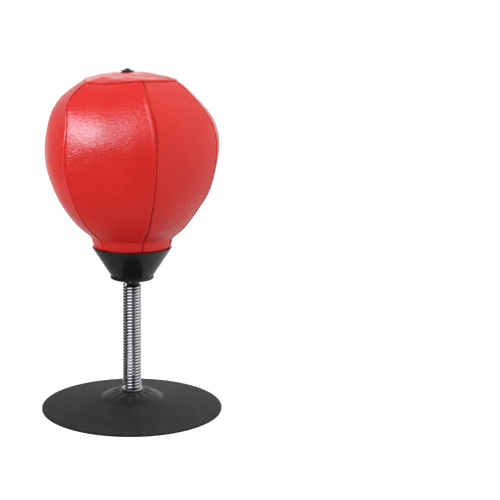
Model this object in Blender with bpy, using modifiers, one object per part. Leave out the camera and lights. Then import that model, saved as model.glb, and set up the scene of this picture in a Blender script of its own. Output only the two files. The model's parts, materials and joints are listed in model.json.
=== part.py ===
"""A desktop punch ball: a laced, air-filled ball on a coil spring that stands on a suction cup.

+Z is up and the origin is at the middle of the suction cup's foot. The ball's front faces -Y,
and the laced seam is at the back.
"""

import math

import bmesh
import bpy
from mathutils import Matrix, Vector

MM = 0.001
CLEARANCE = 0.3 * MM  # left between pieces that touch

# Suction cup
CUP_RADIUS = 85.0 * MM
CUP_EDGE = 1.8 * MM  # the rim's thickness
CUP_FOOT_WIDTH = 6.0 * MM  # the flat ring that rests on the desk
SKIRT_RISE = 8.4 * MM
SKIRT_THICKNESS = 2.4 * MM
DOME_RADIUS = 29.6 * MM
DOME_RISE = 6.6 * MM
DOME_STEPS = 4
HUB_MARGIN = 1.2 * MM  # around the foot washer
HUB_THICKNESS = 4.6 * MM

# Coil spring
SPRING_LENGTH = 101.2 * MM
SPRING_DIAMETER = 17.9 * MM
SPRING_WIRE = 2.5 * MM
COIL_GAP = 0.38 * MM
SPRING_TOP_END_ANGLE = math.radians(-140.0)  # where the wire's upper end shows, at the left front
STEPS_PER_TURN = 8
END_STEP = 0.012  # of a turn
BEND_HINGES = 6  # alternately side to side and fore and aft

# Screwed studs that hold the spring's ends
STUD_GRIP = 9.0 * MM
STUD_CHAMFER = 1.2 * MM
STUD_SHOULDER = 0.98 * MM  # from the threaded part in to the neck in the foot washer
FOOT_WASHER_MARGIN = 1.0 * MM  # around the spring
FOOT_WASHER_THICKNESS = 1.8 * MM
COLLAR_STUD_FLANGE = 2.9 * MM
STUD_FLANGE_INSET = 1.05 * MM  # from the spring's outer side

# The two screws, one up through the cup and one down through the collar
SCREW_RADIUS = 2.0 * MM
SCREW_HEAD_RADIUS = 4.2 * MM
SCREW_HEAD_HEIGHT = 2.6 * MM
SCREW_HEAD_EDGE = 1.3 * MM  # the head's upright side
SCREW_CROWN_INSET = 1.7 * MM
SCREW_CHAMFER = 1.2 * MM
SCREW_GRIP = 8.0 * MM  # how far a screw reaches into its stud
SCREW_WASHER_RADIUS = 7.0 * MM
SCREW_WASHER_THICKNESS = 1.0 * MM

# Collar
COLLAR_HEIGHT = 30.7 * MM
COLLAR_RIM_RADIUS = 37.3 * MM
COLLAR_FOOT_RADIUS = 20.0 * MM
COLLAR_FOOT_HEIGHT = 4.0 * MM
COLLAR_BEAD = 0.5 * MM
COLLAR_WALL = 2.2 * MM
COLLAR_FLOOR = 3.0 * MM

# Clamp cup that traps the cover's hem in the collar
CLAMP_WALL = 1.8 * MM
CLAMP_FLOOR = 2.0 * MM
CLAMP_TOP_BELOW_RIM = 8.0 * MM

# Ball
BALL_RADIUS = 80.2 * MM
BALL_LOWER_REACH = 94.5 * MM  # the lower half-ellipse's height
BALL_UPPER_REACH = 70.6 * MM
EQUATOR_ABOVE_RIM = 92.9 * MM
NECK_FLARE = 0.6  # how fast the cover widens as it leaves the collar
NECK_FLARE_HEIGHT = 12.0 * MM
NECK_ROUNDING = 3.0 * MM
HEM_ABOVE_FLOOR = 3.5 * MM
COVER_THICKNESS = 1.0 * MM
PANELS = 6
PANEL_FLATNESS = 0.03  # how much nearer a panel's middle is than its seams, as a share
FLATTENING_SHARE = 0.5  # of the way to the equator, over which the panels grow flat
FIRST_SEAM_ANGLE = math.radians(-15.0)
CAP_RADIUS = 43.4 * MM
CAP_RISE = 7.5 * MM
CAP_FULLNESS = 2.1
CAP_STEPS = 4
PANEL_COLUMNS = 6
HEM_STEPS = 2
LOWER_STEPS = 10
UPPER_STEPS = 5

# Bladder
BLADDER_THICKNESS = 0.6 * MM
BLADDER_FOOT_GAP = 4.5 * MM  # around its foot, to the collar's rim
BLADDER_FOOT_HEIGHT = 25.0 * MM
BLADDER_FOOT_ABOVE_RIM = 8.75 * MM
BLADDER_TURN_HEIGHT = 12.5 * MM  # left between the foot and the sides, where the bladder turns
BLADDER_FOOT_STEPS = 4
BLADDER_STEPS = 24

# Valve
VALVE_NECK_RADIUS = 4.8 * MM
VALVE_FLANGE_RADIUS = 6.5 * MM
VALVE_FLANGE_THICKNESS = 0.9 * MM
VALVE_FLANGE_EDGE = 0.36 * MM
VALVE_BORE_RADIUS = 1.8 * MM
VALVE_FOOT_THICKNESS = 1.5 * MM
PLUG_HEAD_RADIUS = 3.2 * MM
PLUG_HEAD_HEIGHT = 1.2 * MM
PLUG_HEAD_EDGE = 0.36 * MM
PLUG_CROWN_RADIUS = 1.92 * MM
PLUG_CROWN_DROP = 0.24 * MM
PLUG_STEM_LENGTH = 5.5 * MM

# Lacing on the seam at the back
LACED_SEAM = 2
LACE_ROWS = 6
LACE_FIRST_ROW_ABOVE_RIM = 20.0 * MM
LACE_ROW_RISE = 6.0 * MM
LACE_HALF_SPREAD = 6.0 * MM
LACE_RADIUS = 0.7 * MM
LACE_PLAY = 0.6 * MM  # between the lace and the cover that it passes under
TONGUE_PLAY = 0.9 * MM  # between the lace and the tongue, which bows towards its straight runs
LACE_BENDS = (0.3, 0.5, 0.7)  # where a strand bends along its diagonal, and crosses at the middle one
EYELET_BARREL = 0.4 * MM
EYELET_FLANGE_WIDTH = 1.6 * MM  # from the bore out
EYELET_FLANGE_THICKNESS = 0.4 * MM
TONGUE_THICKNESS = 0.8 * MM
TONGUE_HALF_WIDTH = 9.0 * MM
TONGUE_OVERHANG = 5.0 * MM
TONGUE_ROWS = 8
TONGUE_COLUMNS = 4

ROUND_STEPS = 36
SMALL_ROUND_STEPS = 20
EYELET_STEPS = 8
CORD_SIDES_RESOLUTION = 2
SHARP_ANGLE = math.radians(40.0)
CUTTER_DEPTH = 6.0  # in cover thicknesses
SLOPE_STEP = 0.2 * MM  # over which the cover's slope is measured
WELD_DISTANCE = 0.01 * MM

# Radii of the spring and what seats on it
SPRING_TURNS = round((SPRING_LENGTH - SPRING_WIRE) / (SPRING_WIRE + COIL_GAP))
COIL_RADIUS = (SPRING_DIAMETER - SPRING_WIRE) / 2
COIL_CHORD_RADIUS = COIL_RADIUS * math.cos(math.pi / STEPS_PER_TURN)
STUD_RADIUS = COIL_CHORD_RADIUS - SPRING_WIRE / 2 - CLEARANCE
STUD_NECK_RADIUS = STUD_RADIUS - STUD_SHOULDER
COLLAR_STUD_FLANGE_RADIUS = SPRING_DIAMETER / 2 - STUD_FLANGE_INSET
FOOT_WASHER_RADIUS = SPRING_DIAMETER / 2 + FOOT_WASHER_MARGIN
HUB_RADIUS = FOOT_WASHER_RADIUS + HUB_MARGIN

# Heights that follow from the sizes above
DOME_FOOT_Z = CUP_EDGE + SKIRT_RISE
HUB_TOP_Z = DOME_FOOT_Z + DOME_RISE
HUB_UNDERSIDE_Z = HUB_TOP_Z - HUB_THICKNESS
SPRING_FOOT_Z = HUB_TOP_Z + CLEARANCE + FOOT_WASHER_THICKNESS + CLEARANCE
SPRING_TOP_Z = SPRING_FOOT_Z + SPRING_LENGTH
COLLAR_STUD_TOP_Z = SPRING_TOP_Z + CLEARANCE + COLLAR_STUD_FLANGE
COLLAR_FOOT_Z = COLLAR_STUD_TOP_Z + CLEARANCE
COLLAR_FLOOR_Z = COLLAR_FOOT_Z + COLLAR_FLOOR
COLLAR_RIM_Z = COLLAR_FOOT_Z + COLLAR_HEIGHT
CLAMP_FOOT_Z = COLLAR_FLOOR_Z + CLEARANCE
CLAMP_FLOOR_Z = CLAMP_FOOT_Z + CLAMP_FLOOR
CLAMP_TOP_Z = COLLAR_RIM_Z - CLAMP_TOP_BELOW_RIM
HEM_Z = COLLAR_FLOOR_Z + HEM_ABOVE_FLOOR
EQUATOR_Z = COLLAR_RIM_Z + EQUATOR_ABOVE_RIM
CAP_EDGE_ANGLE = math.acos(CAP_RADIUS / BALL_RADIUS)
CAP_EDGE_Z = EQUATOR_Z + BALL_UPPER_REACH * math.sin(CAP_EDGE_ANGLE)
CROWN_Z = CAP_EDGE_Z + CAP_RISE

# Other radii and widths that follow
PANEL_CHORD_SHARE = math.cos(math.pi / (PANELS * PANEL_COLUMNS))  # of a panel's facets to its corners
CAP_EDGE_RADIUS = CAP_RADIUS * PANEL_CHORD_SHARE - CLEARANCE
SCREW_HOLE_RADIUS = SCREW_RADIUS + CLEARANCE
COLLAR_SLOPE = (COLLAR_RIM_RADIUS - COLLAR_FOOT_RADIUS) / (COLLAR_HEIGHT - COLLAR_FOOT_HEIGHT)
HEM_CLEARANCE = CLEARANCE * math.hypot(1.0, COLLAR_SLOPE)  # measured level across the cone
HEM_THICKNESS = COVER_THICKNESS * math.hypot(1.0, COLLAR_SLOPE)
BLADDER_FOOT_RADIUS = COLLAR_RIM_RADIUS - COLLAR_WALL - BLADDER_FOOT_GAP
EYELET_BORE_RADIUS = LACE_RADIUS + CLEARANCE
EYELET_FLANGE_RADIUS = EYELET_BORE_RADIUS + EYELET_FLANGE_WIDTH
EYELET_HOLE_RADIUS = EYELET_BORE_RADIUS + EYELET_BARREL + CLEARANCE
VALVE_HOLE_RADIUS = VALVE_NECK_RADIUS + CLEARANCE

# The lace lies on the eyelets outside, and between the cover and the tongue inside
LACE_OUTER_LIFT = CLEARANCE + EYELET_FLANGE_THICKNESS + CLEARANCE + LACE_RADIUS
LACE_OVER_LIFT = LACE_OUTER_LIFT + 2 * LACE_RADIUS + CLEARANCE
LACE_INNER_DEPTH = COVER_THICKNESS + LACE_PLAY + LACE_RADIUS
TONGUE_DEPTH = LACE_INNER_DEPTH + LACE_RADIUS + TONGUE_PLAY
LACING_ROOM = TONGUE_DEPTH + TONGUE_THICKNESS - COVER_THICKNESS
LACE_TOP_Z = COLLAR_RIM_Z + LACE_FIRST_ROW_ABOVE_RIM + LACE_ROW_RISE * (LACE_ROWS - 1)

COLOURS = {
    "cup_rubber": ((0.035, 0.035, 0.04), 0.55, 0.0),
    "spring_steel": ((0.78, 0.78, 0.8), 0.15, 1.0),
    "zinc_steel": ((0.6, 0.6, 0.62), 0.3, 1.0),
    "stud_nylon": ((0.02, 0.02, 0.02), 0.4, 0.0),
    "collar_plastic": ((0.012, 0.012, 0.013), 0.25, 0.0),
    "ball_leather": ((0.75, 0.02, 0.015), 0.25, 0.0),
    "bladder_latex": ((0.55, 0.4, 0.22), 0.5, 0.0),
    "valve_rubber": ((0.02, 0.02, 0.022), 0.5, 0.0),
    "lace_cotton": ((0.85, 0.84, 0.8), 0.8, 0.0),
}


def clear_scene():
    for old in list(bpy.data.objects):
        bpy.data.objects.remove(old, do_unlink=True)


def new_collection(name):
    collection = bpy.data.collections.new(name)
    bpy.context.scene.collection.children.link(collection)
    return collection


def make_material(name):
    colour, roughness, metallic = COLOURS[name]
    material = bpy.data.materials.new(name)
    material.use_nodes = True
    shader = material.node_tree.nodes["Principled BSDF"]
    shader.inputs["Base Color"].default_value = (*colour, 1.0)
    shader.inputs["Roughness"].default_value = roughness
    shader.inputs["Metallic"].default_value = metallic
    return material


clear_scene()
PARTS = new_collection("punch_ball")
CUTTERS = new_collection("cutters")
MATERIALS = {name: make_material(name) for name in COLOURS}


class Body:
    """An empty on a joint's axis, which carries the pieces that move together."""

    def __init__(self, name, pivot_z, parent=None):
        self.place = Matrix.Translation((0.0, 0.0, pivot_z))
        self.empty = bpy.data.objects.new(name + "_body", None)
        PARTS.objects.link(self.empty)
        if parent:
            self.empty.parent = parent.empty
            self.empty.location = self.place.translation - parent.place.translation
        else:
            self.empty.location = self.place.translation

    def carry(self, piece, material):
        """Takes on a piece that was modelled where it stands in the rest pose."""
        piece.data.materials.append(MATERIALS[material])
        piece.parent = self.empty
        piece.matrix_parent_inverse = self.place.inverted()
        return piece


def new_object(name, data, collection=PARTS):
    made = bpy.data.objects.new(name, data)
    collection.objects.link(made)
    return made


def finished_mesh(name, shape):
    mesh = bpy.data.meshes.new(name)
    shape.to_mesh(mesh)
    shape.free()
    mesh.shade_smooth()
    mesh.set_sharp_from_angle(angle=SHARP_ANGLE)
    return mesh


def turned(name, profile, steps=SMALL_ROUND_STEPS, closed=True):
    """A profile of (radius, height) turned about Z. It runs down the outer side, and back up inside.

    A profile that starts and ends on the axis is left open there, and closes as it turns.
    """
    edges = [(i, i + 1) for i in range(len(profile) - 1)]
    if closed:
        edges.append((len(profile) - 1, 0))
    mesh = bpy.data.meshes.new(name)
    mesh.from_pydata([(radius, 0.0, height) for radius, height in profile], edges, [])
    piece = new_object(name, mesh)
    screw = piece.modifiers.new("turn", "SCREW")
    screw.axis = "Z"
    screw.angle = math.tau
    screw.steps = steps
    screw.render_steps = steps
    screw.use_merge_vertices = True
    screw.merge_threshold = WELD_DISTANCE
    screw.use_smooth_shade = True
    return piece


def slab(name, columns, rows, place):
    """A sheet with a thickness. place(across, along, depth) gives each corner's position,
    with across and along from 0 to 1, and depth 0 on the outer face and 1 on the inner one."""
    shape = bmesh.new()
    bmesh.ops.create_grid(shape, x_segments=columns, y_segments=rows, size=0.5)
    outer = list(shape.verts)
    everything = shape.verts[:] + shape.edges[:] + shape.faces[:]
    grown = bmesh.ops.extrude_face_region(shape, geom=everything, use_keep_orig=True)
    inner = [v for v in grown["geom"] if isinstance(v, bmesh.types.BMVert)]
    for depth, corners in ((0.0, outer), (1.0, inner)):
        for corner in corners:
            corner.co = place(corner.co.x + 0.5, corner.co.y + 0.5, depth)
    bmesh.ops.recalc_face_normals(shape, faces=shape.faces[:])
    return new_object(name, finished_mesh(name, shape))


def tube(name, points, radius, cyclic=False):
    """A round wire or cord through the points, as a mesh with its end caps welded on."""
    curve = bpy.data.curves.new(name + "_path", "CURVE")
    curve.dimensions = "3D"
    curve.bevel_depth = radius
    curve.bevel_resolution = CORD_SIDES_RESOLUTION
    curve.use_fill_caps = True
    spline = curve.splines.new("POLY")
    spline.points.add(len(points) - 1)
    for spot, point in zip(spline.points, points):
        spot.co = (*point, 1.0)
    spline.use_cyclic_u = cyclic
    path = new_object(name + "_path", curve)
    view = bpy.context.evaluated_depsgraph_get()
    mesh = bpy.data.meshes.new_from_object(path.evaluated_get(view))
    bpy.data.objects.remove(path)
    shape = bmesh.new()
    shape.from_mesh(mesh)
    bpy.data.meshes.remove(mesh)
    bmesh.ops.remove_doubles(shape, verts=shape.verts[:], dist=WELD_DISTANCE)
    return new_object(name, finished_mesh(name, shape))


# ---------------------------------------------------------------- suction cup and its fastening


def skirt_underside(radius):
    """Height of the skirt's underside, from the foot ring's inner edge up to the dome's foot."""
    foot_radius = CUP_RADIUS - CUP_FOOT_WIDTH
    rise = DOME_FOOT_Z - SKIRT_THICKNESS
    return rise * (foot_radius - radius) / (foot_radius - DOME_RADIUS)


def dome_arc(inner_radius, outer_radius, top_z, foot_z):
    """Points along the dome, from its flat top down to its foot."""
    points = []
    for step in range(DOME_STEPS + 1):
        turn = math.pi / 2 * step / DOME_STEPS
        radius = inner_radius + (outer_radius - inner_radius) * math.sin(turn)
        points.append((radius, foot_z + (top_z - foot_z) * math.cos(turn)))
    return points


def make_suction_cup():
    outer = dome_arc(HUB_RADIUS, DOME_RADIUS, HUB_TOP_Z, DOME_FOOT_Z)
    hollow_foot_z = skirt_underside(DOME_RADIUS)
    hollow = dome_arc(HUB_RADIUS, DOME_RADIUS, HUB_UNDERSIDE_Z, hollow_foot_z)
    profile = [(SCREW_HOLE_RADIUS, HUB_TOP_Z)]
    profile += outer
    profile += [(CUP_RADIUS, CUP_EDGE), (CUP_RADIUS, 0.0), (CUP_RADIUS - CUP_FOOT_WIDTH, 0.0)]
    profile += reversed(hollow)
    profile.append((SCREW_HOLE_RADIUS, HUB_UNDERSIDE_Z))
    return turned("suction_cup", profile, ROUND_STEPS)


def make_washer(name, bore_radius, outer_radius, foot_z, thickness):
    top_z = foot_z + thickness
    profile = [(bore_radius, top_z), (outer_radius, top_z), (outer_radius, foot_z), (bore_radius, foot_z)]
    return turned(name, profile)


def make_screw(name, seat_z, tip_z):
    """A pan-head screw whose head sits at seat_z, pointing up or down to its tip."""
    up = 1.0 if tip_z > seat_z else -1.0
    crown_z = seat_z - up * SCREW_HEAD_HEIGHT
    profile = [
        (0.0, tip_z),
        (SCREW_RADIUS - SCREW_CHAMFER, tip_z),
        (SCREW_RADIUS, tip_z - up * SCREW_CHAMFER),
        (SCREW_RADIUS, seat_z),
        (SCREW_HEAD_RADIUS, seat_z),
        (SCREW_HEAD_RADIUS, seat_z - up * SCREW_HEAD_EDGE),
        (SCREW_HEAD_RADIUS - SCREW_CROWN_INSET, crown_z),
        (0.0, crown_z),
    ]
    if up < 0.0:
        profile.reverse()
    return turned(name, profile, closed=False)


def make_base_stud():
    """The threaded stud under the spring. It stands on the hub, through the foot washer."""
    foot_z = HUB_TOP_Z + CLEARANCE
    tip_z = SPRING_FOOT_Z + STUD_GRIP
    bore_top_z = foot_z + SCREW_GRIP + CLEARANCE
    profile = [
        (0.0, tip_z),
        (STUD_RADIUS - STUD_CHAMFER, tip_z),
        (STUD_RADIUS, tip_z - STUD_CHAMFER),
        (STUD_RADIUS, SPRING_FOOT_Z),
        (STUD_NECK_RADIUS, SPRING_FOOT_Z),
        (STUD_NECK_RADIUS, foot_z),
        (SCREW_HOLE_RADIUS, foot_z),
        (SCREW_HOLE_RADIUS, bore_top_z),
        (0.0, bore_top_z),
    ]
    return turned("base_stud", profile, closed=False)


def make_base(body):
    body.carry(make_suction_cup(), "cup_rubber")
    bore = STUD_NECK_RADIUS + CLEARANCE
    washer_z = HUB_TOP_Z + CLEARANCE
    washer = make_washer("foot_washer", bore, FOOT_WASHER_RADIUS, washer_z, FOOT_WASHER_THICKNESS)
    body.carry(washer, "zinc_steel")
    body.carry(make_base_stud(), "stud_nylon")
    washer_z = HUB_UNDERSIDE_Z - CLEARANCE - SCREW_WASHER_THICKNESS
    washer = make_washer(
        "base_screw_washer", SCREW_HOLE_RADIUS, SCREW_WASHER_RADIUS, washer_z, SCREW_WASHER_THICKNESS
    )
    body.carry(washer, "zinc_steel")
    screw = make_screw("base_screw", washer_z - CLEARANCE, HUB_TOP_Z + CLEARANCE + SCREW_GRIP)
    body.carry(screw, "zinc_steel")


# ---------------------------------------------------------------- spring


def hinge_heights():
    """Heights of the places where the spring bends, and last of the one where it twists."""
    low = SPRING_FOOT_Z + STUD_GRIP
    stretch = (SPRING_LENGTH - 2 * STUD_GRIP) / (BEND_HINGES + 1)
    return [low + stretch * (i + 0.5) for i in range(BEND_HINGES + 1)]


def coil_point(turns):
    """A point on the wire's middle line, so many turns up from its lower end."""
    angle = SPRING_TOP_END_ANGLE - math.tau * (SPRING_TURNS - turns)
    rise = (SPRING_LENGTH - SPRING_WIRE) * turns / SPRING_TURNS
    return (
        COIL_RADIUS * math.cos(angle),
        COIL_RADIUS * math.sin(angle),
        SPRING_FOOT_Z + SPRING_WIRE / 2 + rise,
    )


def turns_at(height):
    rise = height - SPRING_FOOT_Z - SPRING_WIRE / 2
    return SPRING_TURNS * rise / (SPRING_LENGTH - SPRING_WIRE)


def make_coils(name, first_turn, last_turn):
    """A stretch of the wire. A short step at each end squares its face to the wire."""
    steps = max(2, round((last_turn - first_turn) * STEPS_PER_TURN))
    span = last_turn - first_turn
    turns = [first_turn + span * i / steps for i in range(1, steps)]
    turns = [first_turn, first_turn + END_STEP] + turns + [last_turn - END_STEP, last_turn]
    return tube(name, [coil_point(turn) for turn in turns], SPRING_WIRE / 2)


def make_spring(base, segments, head, heights):
    cut = CLEARANCE / 2 / (math.tau * COIL_RADIUS)
    edges = [turns_at(height) for height in heights]
    base.carry(make_coils("spring_lower_end", 0.0, edges[0] - cut), "spring_steel")
    for index, segment in enumerate(segments):
        name = f"spring_coils_{index + 1}"
        coils = make_coils(name, edges[index] + cut, edges[index + 1] - cut)
        segment.carry(coils, "spring_steel")
    head.carry(make_coils("spring_upper_end", edges[-1] + cut, SPRING_TURNS), "spring_steel")


# ---------------------------------------------------------------- collar and clamp


def collar_inner_radius(height):
    return COLLAR_RIM_RADIUS - COLLAR_WALL - COLLAR_SLOPE * (COLLAR_RIM_Z - height)


def make_collar_stud():
    """The threaded stud in the spring's top, with the flange that shows under the collar."""
    flange_z = SPRING_TOP_Z + CLEARANCE
    tip_z = SPRING_TOP_Z - STUD_GRIP
    bore_foot_z = COLLAR_STUD_TOP_Z - SCREW_GRIP - CLEARANCE
    profile = [
        (0.0, bore_foot_z),
        (SCREW_HOLE_RADIUS, bore_foot_z),
        (SCREW_HOLE_RADIUS, COLLAR_STUD_TOP_Z),
        (COLLAR_STUD_FLANGE_RADIUS, COLLAR_STUD_TOP_Z),
        (COLLAR_STUD_FLANGE_RADIUS, flange_z),
        (STUD_RADIUS, flange_z),
        (STUD_RADIUS, tip_z + STUD_CHAMFER),
        (STUD_RADIUS - STUD_CHAMFER, tip_z),
        (0.0, tip_z),
    ]
    return turned("collar_stud", profile, closed=False)


def make_collar():
    cone_foot_z = COLLAR_FOOT_Z + COLLAR_FOOT_HEIGHT
    bead_z = COLLAR_FOOT_Z + COLLAR_FOOT_HEIGHT / 2
    profile = [
        (COLLAR_RIM_RADIUS - COLLAR_WALL, COLLAR_RIM_Z),
        (COLLAR_RIM_RADIUS, COLLAR_RIM_Z),
        (COLLAR_FOOT_RADIUS, cone_foot_z),
        (COLLAR_FOOT_RADIUS + COLLAR_BEAD, bead_z + COLLAR_BEAD),
        (COLLAR_FOOT_RADIUS + COLLAR_BEAD, bead_z - COLLAR_BEAD),
        (COLLAR_FOOT_RADIUS - COLLAR_BEAD, COLLAR_FOOT_Z),
        (SCREW_HOLE_RADIUS, COLLAR_FOOT_Z),
        (SCREW_HOLE_RADIUS, COLLAR_FLOOR_Z),
        (collar_inner_radius(COLLAR_FLOOR_Z), COLLAR_FLOOR_Z),
    ]
    return turned("collar", profile, ROUND_STEPS)


def make_clamp_cup():
    def outer_radius(height):
        return collar_inner_radius(height) - HEM_CLEARANCE - HEM_THICKNESS - HEM_CLEARANCE

    profile = [
        (outer_radius(CLAMP_TOP_Z) - CLAMP_WALL, CLAMP_TOP_Z),
        (outer_radius(CLAMP_TOP_Z), CLAMP_TOP_Z),
        (outer_radius(CLAMP_FOOT_Z), CLAMP_FOOT_Z),
        (SCREW_HOLE_RADIUS, CLAMP_FOOT_Z),
        (SCREW_HOLE_RADIUS, CLAMP_FLOOR_Z),
        (outer_radius(CLAMP_FLOOR_Z) - CLAMP_WALL, CLAMP_FLOOR_Z),
    ]
    return turned("clamp_cup", profile, ROUND_STEPS)


def make_collar_group(body):
    body.carry(make_collar_stud(), "stud_nylon")
    body.carry(make_collar(), "collar_plastic")
    body.carry(make_clamp_cup(), "stud_nylon")
    washer_z = CLAMP_FLOOR_Z + CLEARANCE
    washer = make_washer(
        "collar_screw_washer", SCREW_HOLE_RADIUS, SCREW_WASHER_RADIUS, washer_z, SCREW_WASHER_THICKNESS
    )
    body.carry(washer, "zinc_steel")
    seat_z = washer_z + SCREW_WASHER_THICKNESS + CLEARANCE
    screw = make_screw("collar_screw", seat_z, COLLAR_STUD_TOP_Z - SCREW_GRIP)
    body.carry(screw, "zinc_steel")


# ---------------------------------------------------------------- ball


def smooth_step(value):
    held = min(max(value, 0.0), 1.0)
    return held * held * (3.0 - 2.0 * held)


def smooth_greater(first, second, rounding):
    return (first + second + math.hypot(first - second, rounding)) / 2


def cover_radius(height):
    """Outer radius of the cover, halfway between a panel's middle and its seams."""
    if height <= COLLAR_RIM_Z:
        return collar_inner_radius(height) - HEM_CLEARANCE
    reach = BALL_LOWER_REACH if height < EQUATOR_Z else BALL_UPPER_REACH
    share = min(abs(height - EQUATOR_Z) / reach, 1.0)
    ball = BALL_RADIUS * math.sqrt(1.0 - share * share)
    if height >= EQUATOR_Z:
        return ball
    above = (height - COLLAR_RIM_Z) / NECK_FLARE_HEIGHT
    flare = NECK_FLARE * NECK_FLARE_HEIGHT * (1.0 - math.exp(-above))
    neck = collar_inner_radius(COLLAR_RIM_Z) - HEM_CLEARANCE + flare
    return smooth_greater(ball, neck, NECK_ROUNDING)


def cover_outward(height):
    """The cover's outward direction, as (away from the axis, up)."""
    rise = 2 * SLOPE_STEP
    widening = (cover_radius(height + SLOPE_STEP) - cover_radius(height - SLOPE_STEP)) / rise
    length = math.hypot(1.0, widening)
    return 1.0 / length, -widening / length


def flatness(height):
    """How flat the panels are at a height. They are round where the cap and collar hold them."""
    from_rim = smooth_step((height - COLLAR_RIM_Z) / (FLATTENING_SHARE * EQUATOR_ABOVE_RIM))
    from_cap = smooth_step((CAP_EDGE_Z - height) / (FLATTENING_SHARE * (CAP_EDGE_Z - EQUATOR_Z)))
    return PANEL_FLATNESS * from_rim * from_cap


def panel_heights():
    """Heights of a panel's rows, closest together where it curves most."""
    heights = [HEM_Z + (COLLAR_RIM_Z - HEM_Z) * i / HEM_STEPS for i in range(HEM_STEPS)]
    for i in range(LOWER_STEPS):
        heights.append(EQUATOR_Z - EQUATOR_ABOVE_RIM * math.cos(math.pi / 2 * i / LOWER_STEPS))
    for i in range(UPPER_STEPS + 1):
        turn = CAP_EDGE_ANGLE * i / UPPER_STEPS
        heights.append(EQUATOR_Z + BALL_UPPER_REACH * math.sin(turn))
    return heights


def cover_point(angle, off_middle, height, depth):
    """A point on or under the cover. off_middle is 0 in a panel's middle and 1 or -1 at its seams."""
    out, up = cover_outward(height)
    radius = cover_radius(height) * (1.0 + flatness(height) * (off_middle**2 - 0.5)) - depth * out
    return Vector((radius * math.cos(angle), radius * math.sin(angle), height - depth * up))


def make_panel(index, heights):
    middle = FIRST_SEAM_ANGLE + math.tau * (index + 0.5) / PANELS

    def place(across, along, depth):
        height = heights[round(along * (len(heights) - 1))]
        half_angle = math.pi / PANELS - CLEARANCE / 2 / cover_radius(height)
        off_middle = 2.0 * across - 1.0
        angle = middle + half_angle * off_middle
        return cover_point(angle, off_middle, height, depth * COVER_THICKNESS)

    return slab(f"cover_panel_{index + 1}", PANEL_COLUMNS, len(heights) - 1, place)


def cap_profile(edge_radius, depth):
    """The cap's profile from the valve's hole to its edge, so deep under its outer face.

    It deepens straight down at the hole, and at the edge along the panels' own thickness.
    """
    edge_out = cover_outward(CAP_EDGE_Z)[0]
    points = []
    for i in range(CAP_STEPS + 1):
        share = i / CAP_STEPS
        radius = VALVE_HOLE_RADIUS + (edge_radius - VALVE_HOLE_RADIUS) * share
        height = CROWN_Z - CAP_RISE * (radius / CAP_RADIUS) ** CAP_FULLNESS
        out = edge_out * share
        points.append((radius - depth * out, height - depth * math.sqrt(1.0 - out * out)))
    return points


def make_cap():
    profile = cap_profile(CAP_EDGE_RADIUS, 0.0)
    profile += reversed(cap_profile(CAP_EDGE_RADIUS, COVER_THICKNESS))
    return turned("cover_cap", profile, ROUND_STEPS)


def bladder_depth(height):
    """How deep the bladder lies under the cover: close above, with room for the lacing below."""
    room = 1.0 - smooth_step((height - LACE_TOP_Z - TONGUE_OVERHANG) / (EQUATOR_Z - LACE_TOP_Z))
    panel_dip = cover_radius(height) * (flatness(height) / 2 + 1.0 - PANEL_CHORD_SHARE)
    return COVER_THICKNESS + CLEARANCE + panel_dip + LACING_ROOM * room


def make_bladder(heights):
    """A thin balloon with a hole for the valve, resting above the clamp cup."""
    profile = cap_profile(CAP_EDGE_RADIUS, COVER_THICKNESS + CLEARANCE)[:-1]
    foot_z = COLLAR_RIM_Z + BLADDER_FOOT_ABOVE_RIM
    for height in reversed(heights):
        if foot_z + BLADDER_TURN_HEIGHT < height:
            point = cover_point(0.0, 0.0, height, bladder_depth(height))
            profile.append((point.x, point.z))
    for i in range(BLADDER_FOOT_STEPS + 1):
        turn = math.pi / 2 * i / BLADDER_FOOT_STEPS
        radius = BLADDER_FOOT_RADIUS * math.cos(turn)
        profile.append((radius, foot_z - BLADDER_FOOT_HEIGHT * math.sin(turn)))
    piece = turned("bladder", profile, BLADDER_STEPS, closed=False)
    shell = piece.modifiers.new("thickness", "SOLIDIFY")
    shell.thickness = BLADDER_THICKNESS
    shell.offset = -1.0
    return piece


# ---------------------------------------------------------------- valve


def make_valve_seat():
    """The bladder's rubber valve: a foot under the bladder, and a flange that shows on the cap."""
    foot_top_z = CROWN_Z - COVER_THICKNESS - 2 * CLEARANCE - BLADDER_THICKNESS - CLEARANCE
    foot_z = foot_top_z - VALVE_FOOT_THICKNESS
    flange_z = CROWN_Z + CLEARANCE
    top_z = flange_z + VALVE_FLANGE_THICKNESS
    profile = [
        (VALVE_BORE_RADIUS, top_z),
        (VALVE_NECK_RADIUS, top_z),
        (VALVE_FLANGE_RADIUS, flange_z + VALVE_FLANGE_EDGE),
        (VALVE_FLANGE_RADIUS, flange_z),
        (VALVE_NECK_RADIUS, flange_z),
        (VALVE_NECK_RADIUS, foot_top_z),
        (VALVE_FLANGE_RADIUS, foot_top_z),
        (VALVE_FLANGE_RADIUS, foot_z),
        (VALVE_BORE_RADIUS, foot_z),
    ]
    return turned("valve_seat", profile)


def make_valve_plug():
    """The stopper that is pulled out of the valve to pump the ball up."""
    seat_z = CROWN_Z + CLEARANCE + VALVE_FLANGE_THICKNESS + CLEARANCE
    stem_radius = VALVE_BORE_RADIUS - CLEARANCE
    tip_z = seat_z - PLUG_STEM_LENGTH
    profile = [
        (0.0, seat_z + PLUG_HEAD_HEIGHT),
        (PLUG_CROWN_RADIUS, seat_z + PLUG_HEAD_HEIGHT - PLUG_CROWN_DROP),
        (PLUG_HEAD_RADIUS, seat_z + PLUG_HEAD_EDGE),
        (PLUG_HEAD_RADIUS, seat_z),
        (stem_radius, seat_z),
        (stem_radius, tip_z + stem_radius / 2),
        (stem_radius / 2, tip_z),
        (0.0, tip_z),
    ]
    return turned("valve_plug", profile, closed=False)


# ---------------------------------------------------------------- lacing


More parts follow.
